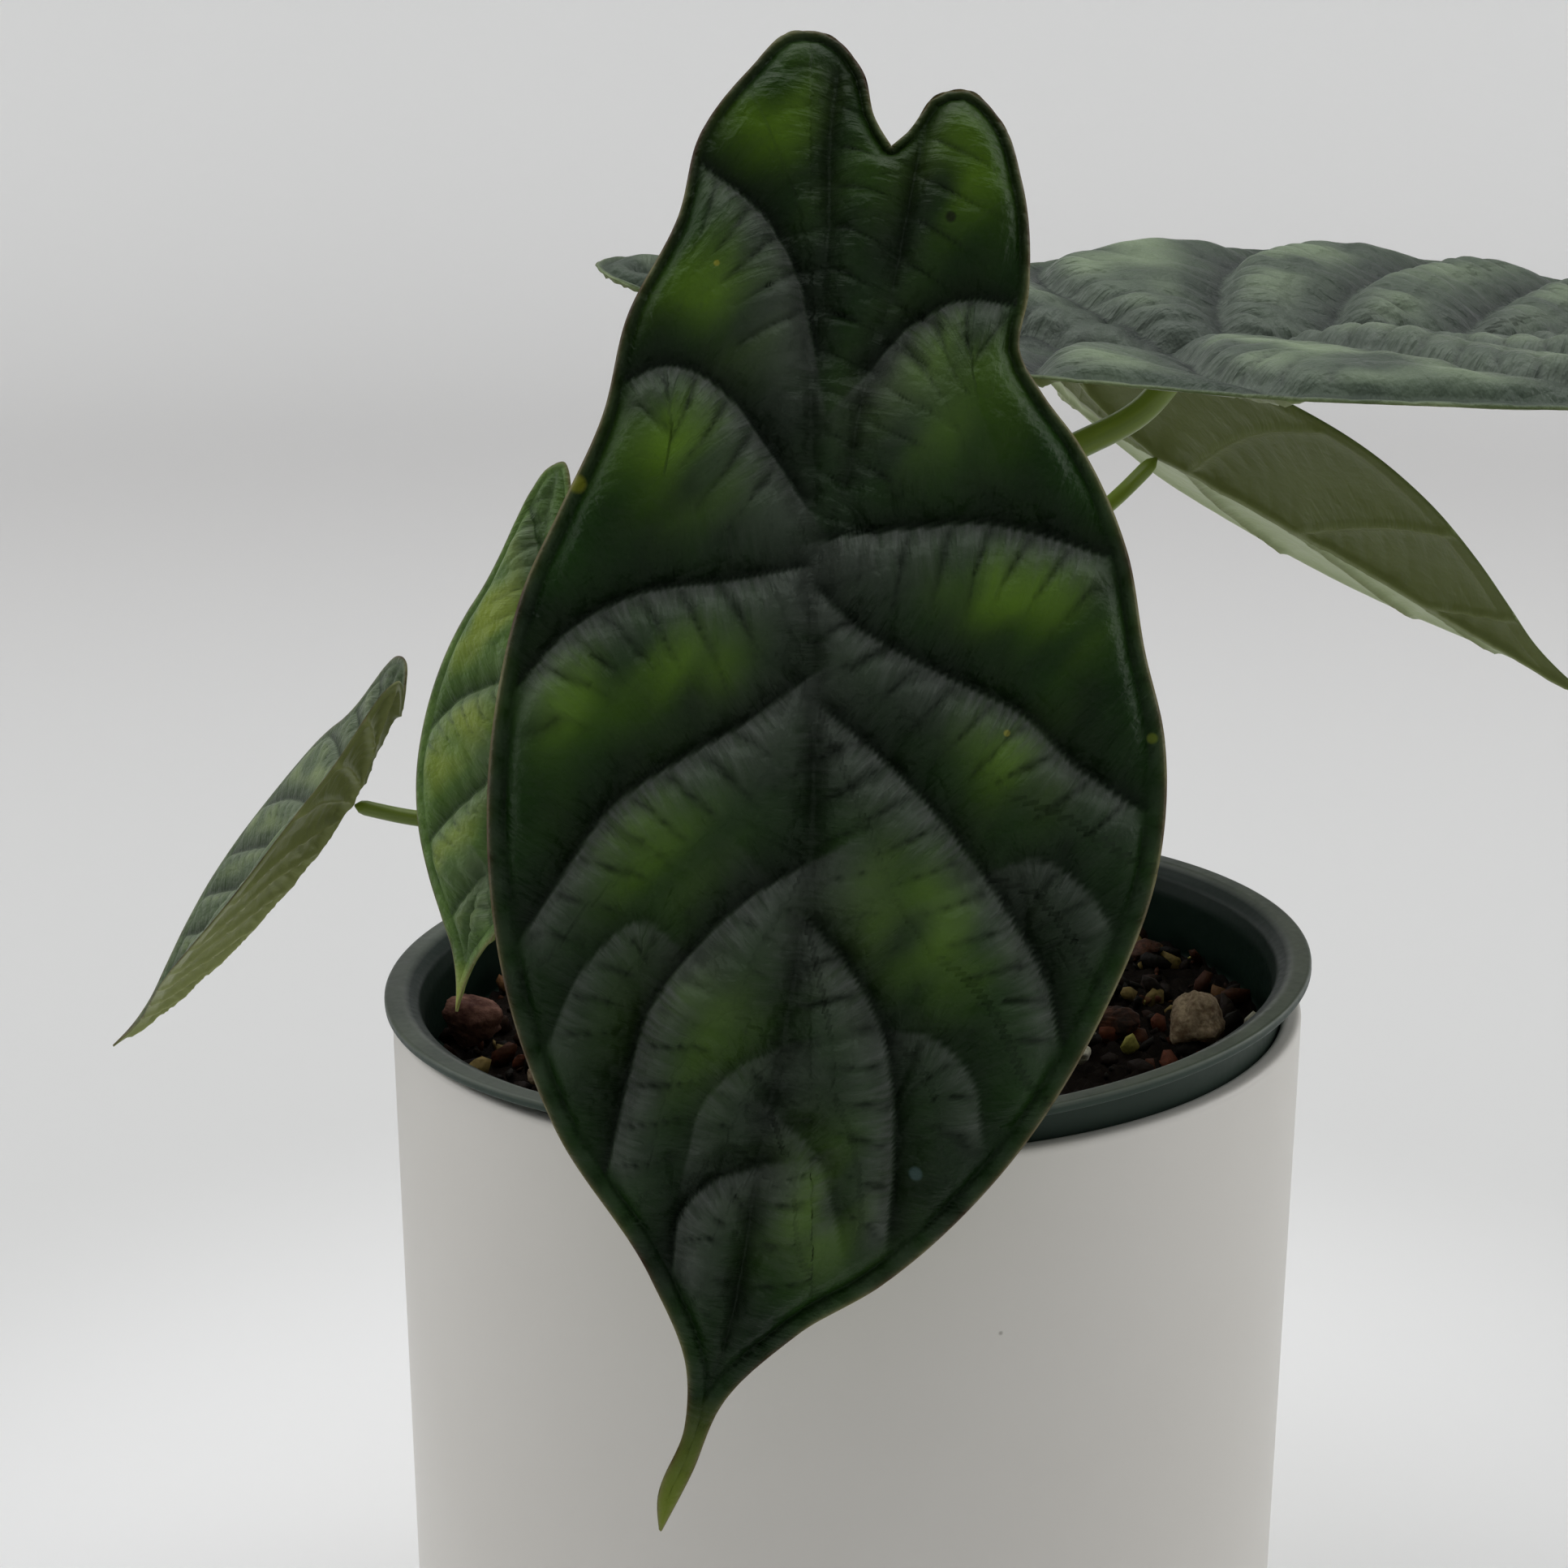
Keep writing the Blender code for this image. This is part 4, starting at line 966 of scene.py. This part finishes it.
def stalk_route(leaf):
    """The stalk's points: up from the corm, through the points between, and out along the
    way it meets the blade, to end inside the blade's vein junction."""
    bearing, foot_mm, end_mm, meets = leaf["stalk"]
    meets = np.array(meets) / np.linalg.norm(meets)
    face = rolled_frame(*leaf["pose"])[2]
    lean = math.sqrt(max(0.0, 1 - float(meets @ face) ** 2))
    gap = 0.0003 * leaf["quilt"][1] + 0.0004 + end_mm / 1000 * lean
    x, y, height = leaf["joins"]
    end = np.array([x, y, rim_z + height]) - face * gap
    turn = math.radians(bearing)
    foot = seated(corm_top + STALK_CIRCLE * np.array([math.cos(turn), math.sin(turn), 0.0]))
    between = [np.array([px, py, rim_z + up]) for px, py, up in leaf["between"]]
    return [foot - [0, 0, 0.002], foot + [0, 0, 0.004], *between, end - meets * 0.006, end]


STALK_ROWS = 90
STALK_AROUND = 28
for name, leaf in LEAVES.items():
    share = np.linspace(0, 1, STALK_ROWS)
    path = smooth_line(stalk_route(leaf), share)
    way = np.gradient(path, axis=0)
    way /= np.linalg.norm(way, axis=1)[:, None]
    outward = path[-1] - path[0]
    level = np.cross([0.0, 0.0, 1.0], outward)
    level /= np.linalg.norm(level)
    level = level - (way @ level)[:, None] * way
    level /= np.linalg.norm(level, axis=1)[:, None]
    upper = np.cross(way, level)
    foot_mm, end_mm = leaf["stalk"][1:3]
    radius = (end_mm + (foot_mm - end_mm) * (1 - share) ** 1.6) / 1000
    radius *= np.sqrt(np.clip((1 - share) * 60, 0.02, 1))
    turn = np.linspace(0, 2 * math.pi, STALK_AROUND, endpoint=False)
    groove = 1 - 0.14 * np.exp(-((turn - math.pi / 2) / 0.5) ** 2) * np.ones((STALK_ROWS, 1))
    sheath = 1 + 0.22 * np.exp(-share[:, None] / 0.10) * np.cos(2 * turn)
    size = radius[:, None] * groove * sheath
    rings = path[:, None] + size[..., None] * (
        np.cos(turn)[None, :, None] * level[:, None] + np.sin(turn)[None, :, None] * upper[:, None]
    )
    stalk = lofted(name + "_leaf_stalk", rings, stalk_finish)
    length = np.linalg.norm(np.diff(path, axis=0), axis=1).sum()
    streaks = np.stack(np.broadcast_arrays(
        radius[:, None] * np.sin(turn), share[:, None] * length, share[:, None]), -1).reshape(-1, 3)
    streaks = np.vstack([streaks, streaks[:1], streaks[-1:]])
    layer = stalk.data.attributes.new("streak", "FLOAT_VECTOR", "POINT")
    layer.data.foreach_set("vector", streaks.astype(np.float32).ravel())
    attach(stalk, "root")
    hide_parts("stalk_" + name)

# ---------------------------------------------------------------- floor and light
# A pale studio sweep that curves up all round, and large soft lights overhead and at both
# sides, so the front is the darker side. The sweep's colour carries painted light and shade:
# a bright pool near the plant, darker further out, and paler again up the wall.
SWEEP_RADIUS = 1.5
SWEEP_RISE = 0.9
SWEEP_AROUND = 96
SWEEP_PAINTED_LIGHT = ((0.055, "#f2f2f2"), (0.115, "#dddddc"), (0.50, "#d0cfce"), (0.95, "#f6f6f5"))

sweep_finish, tree, shader = finish("pale_studio_sweep", {"Roughness": 0.9})
where = node(tree, "TexCoord").outputs["Object"]
distance = node(tree, "VectorMath", {0: where}, operation="LENGTH").outputs["Value"]
tones = node(tree, "ValToRGB", {0: spread(tree, distance, 0.0, 2.4)})
tones.color_ramp.interpolation = "EASE"
tones.color_ramp.elements[0].position = SWEEP_PAINTED_LIGHT[0][0]
tones.color_ramp.elements[0].color = linear(SWEEP_PAINTED_LIGHT[0][1])
tones.color_ramp.elements[1].position = SWEEP_PAINTED_LIGHT[-1][0]
tones.color_ramp.elements[1].color = linear(SWEEP_PAINTED_LIGHT[-1][1])
for place, code in SWEEP_PAINTED_LIGHT[1:-1]:
    tones.color_ramp.elements.new(place).color = linear(code)
tree.links.new(tones.outputs[0], shader.inputs["Base Color"])

bow = np.linspace(0, math.pi / 2, 40)
sweep_profile = np.column_stack([
    np.concatenate([[0.02], SWEEP_RADIUS + SWEEP_RISE * np.sin(bow)]),
    np.concatenate([[0.0], SWEEP_RISE - SWEEP_RISE * np.cos(bow)]),
])
circle = turned(sweep_profile, SWEEP_AROUND)
index = np.arange(circle[..., 0].size).reshape(circle.shape[:2])
on = np.roll(index, -1, axis=1)
quads = np.stack([index[:-1], index[1:], on[1:], on[:-1]], -1).reshape(-1, 4)
middle = np.stack([np.full(SWEEP_AROUND, index.size), index[0], on[0]], -1)
floor_points = np.vstack([circle.reshape(-1, 3), [[0.0, 0.0, 0.0]]])
floor = skin("studio_floor", floor_points, quads, middle, sweep_finish)

world = bpy.data.worlds.new("studio")
world.use_nodes = True
world.node_tree.nodes["Background"].inputs["Color"].default_value = linear("#e9edf2")
world.node_tree.nodes["Background"].inputs["Strength"].default_value = 0.14
bpy.context.scene.world = world

LAMPS = (
    ("overhead", (0.0, 0.40, 1.9), (0.0, 0.15, 0.0), (3.0, 2.6), 36.0),
    ("left_side", (-1.6, 0.5, 0.8), (0.0, 0.0, 0.12), (1.2, 1.2), 5.0),
    ("right_side", (1.6, 0.5, 0.8), (0.0, 0.0, 0.12), (1.2, 1.2), 7.0),
)
for name, place, target, size, power in LAMPS:
    lamp = bpy.data.lights.new(name, "AREA")
    lamp.shape = "RECTANGLE"
    lamp.size, lamp.size_y = size
    lamp.energy = power
    light = bpy.data.objects.new(name, lamp)
    light.location = place
    aim = Vector(target) - Vector(place)
    light.rotation_euler = aim.to_track_quat("-Z", "Y").to_euler()
    bpy.context.scene.collection.objects.link(light)
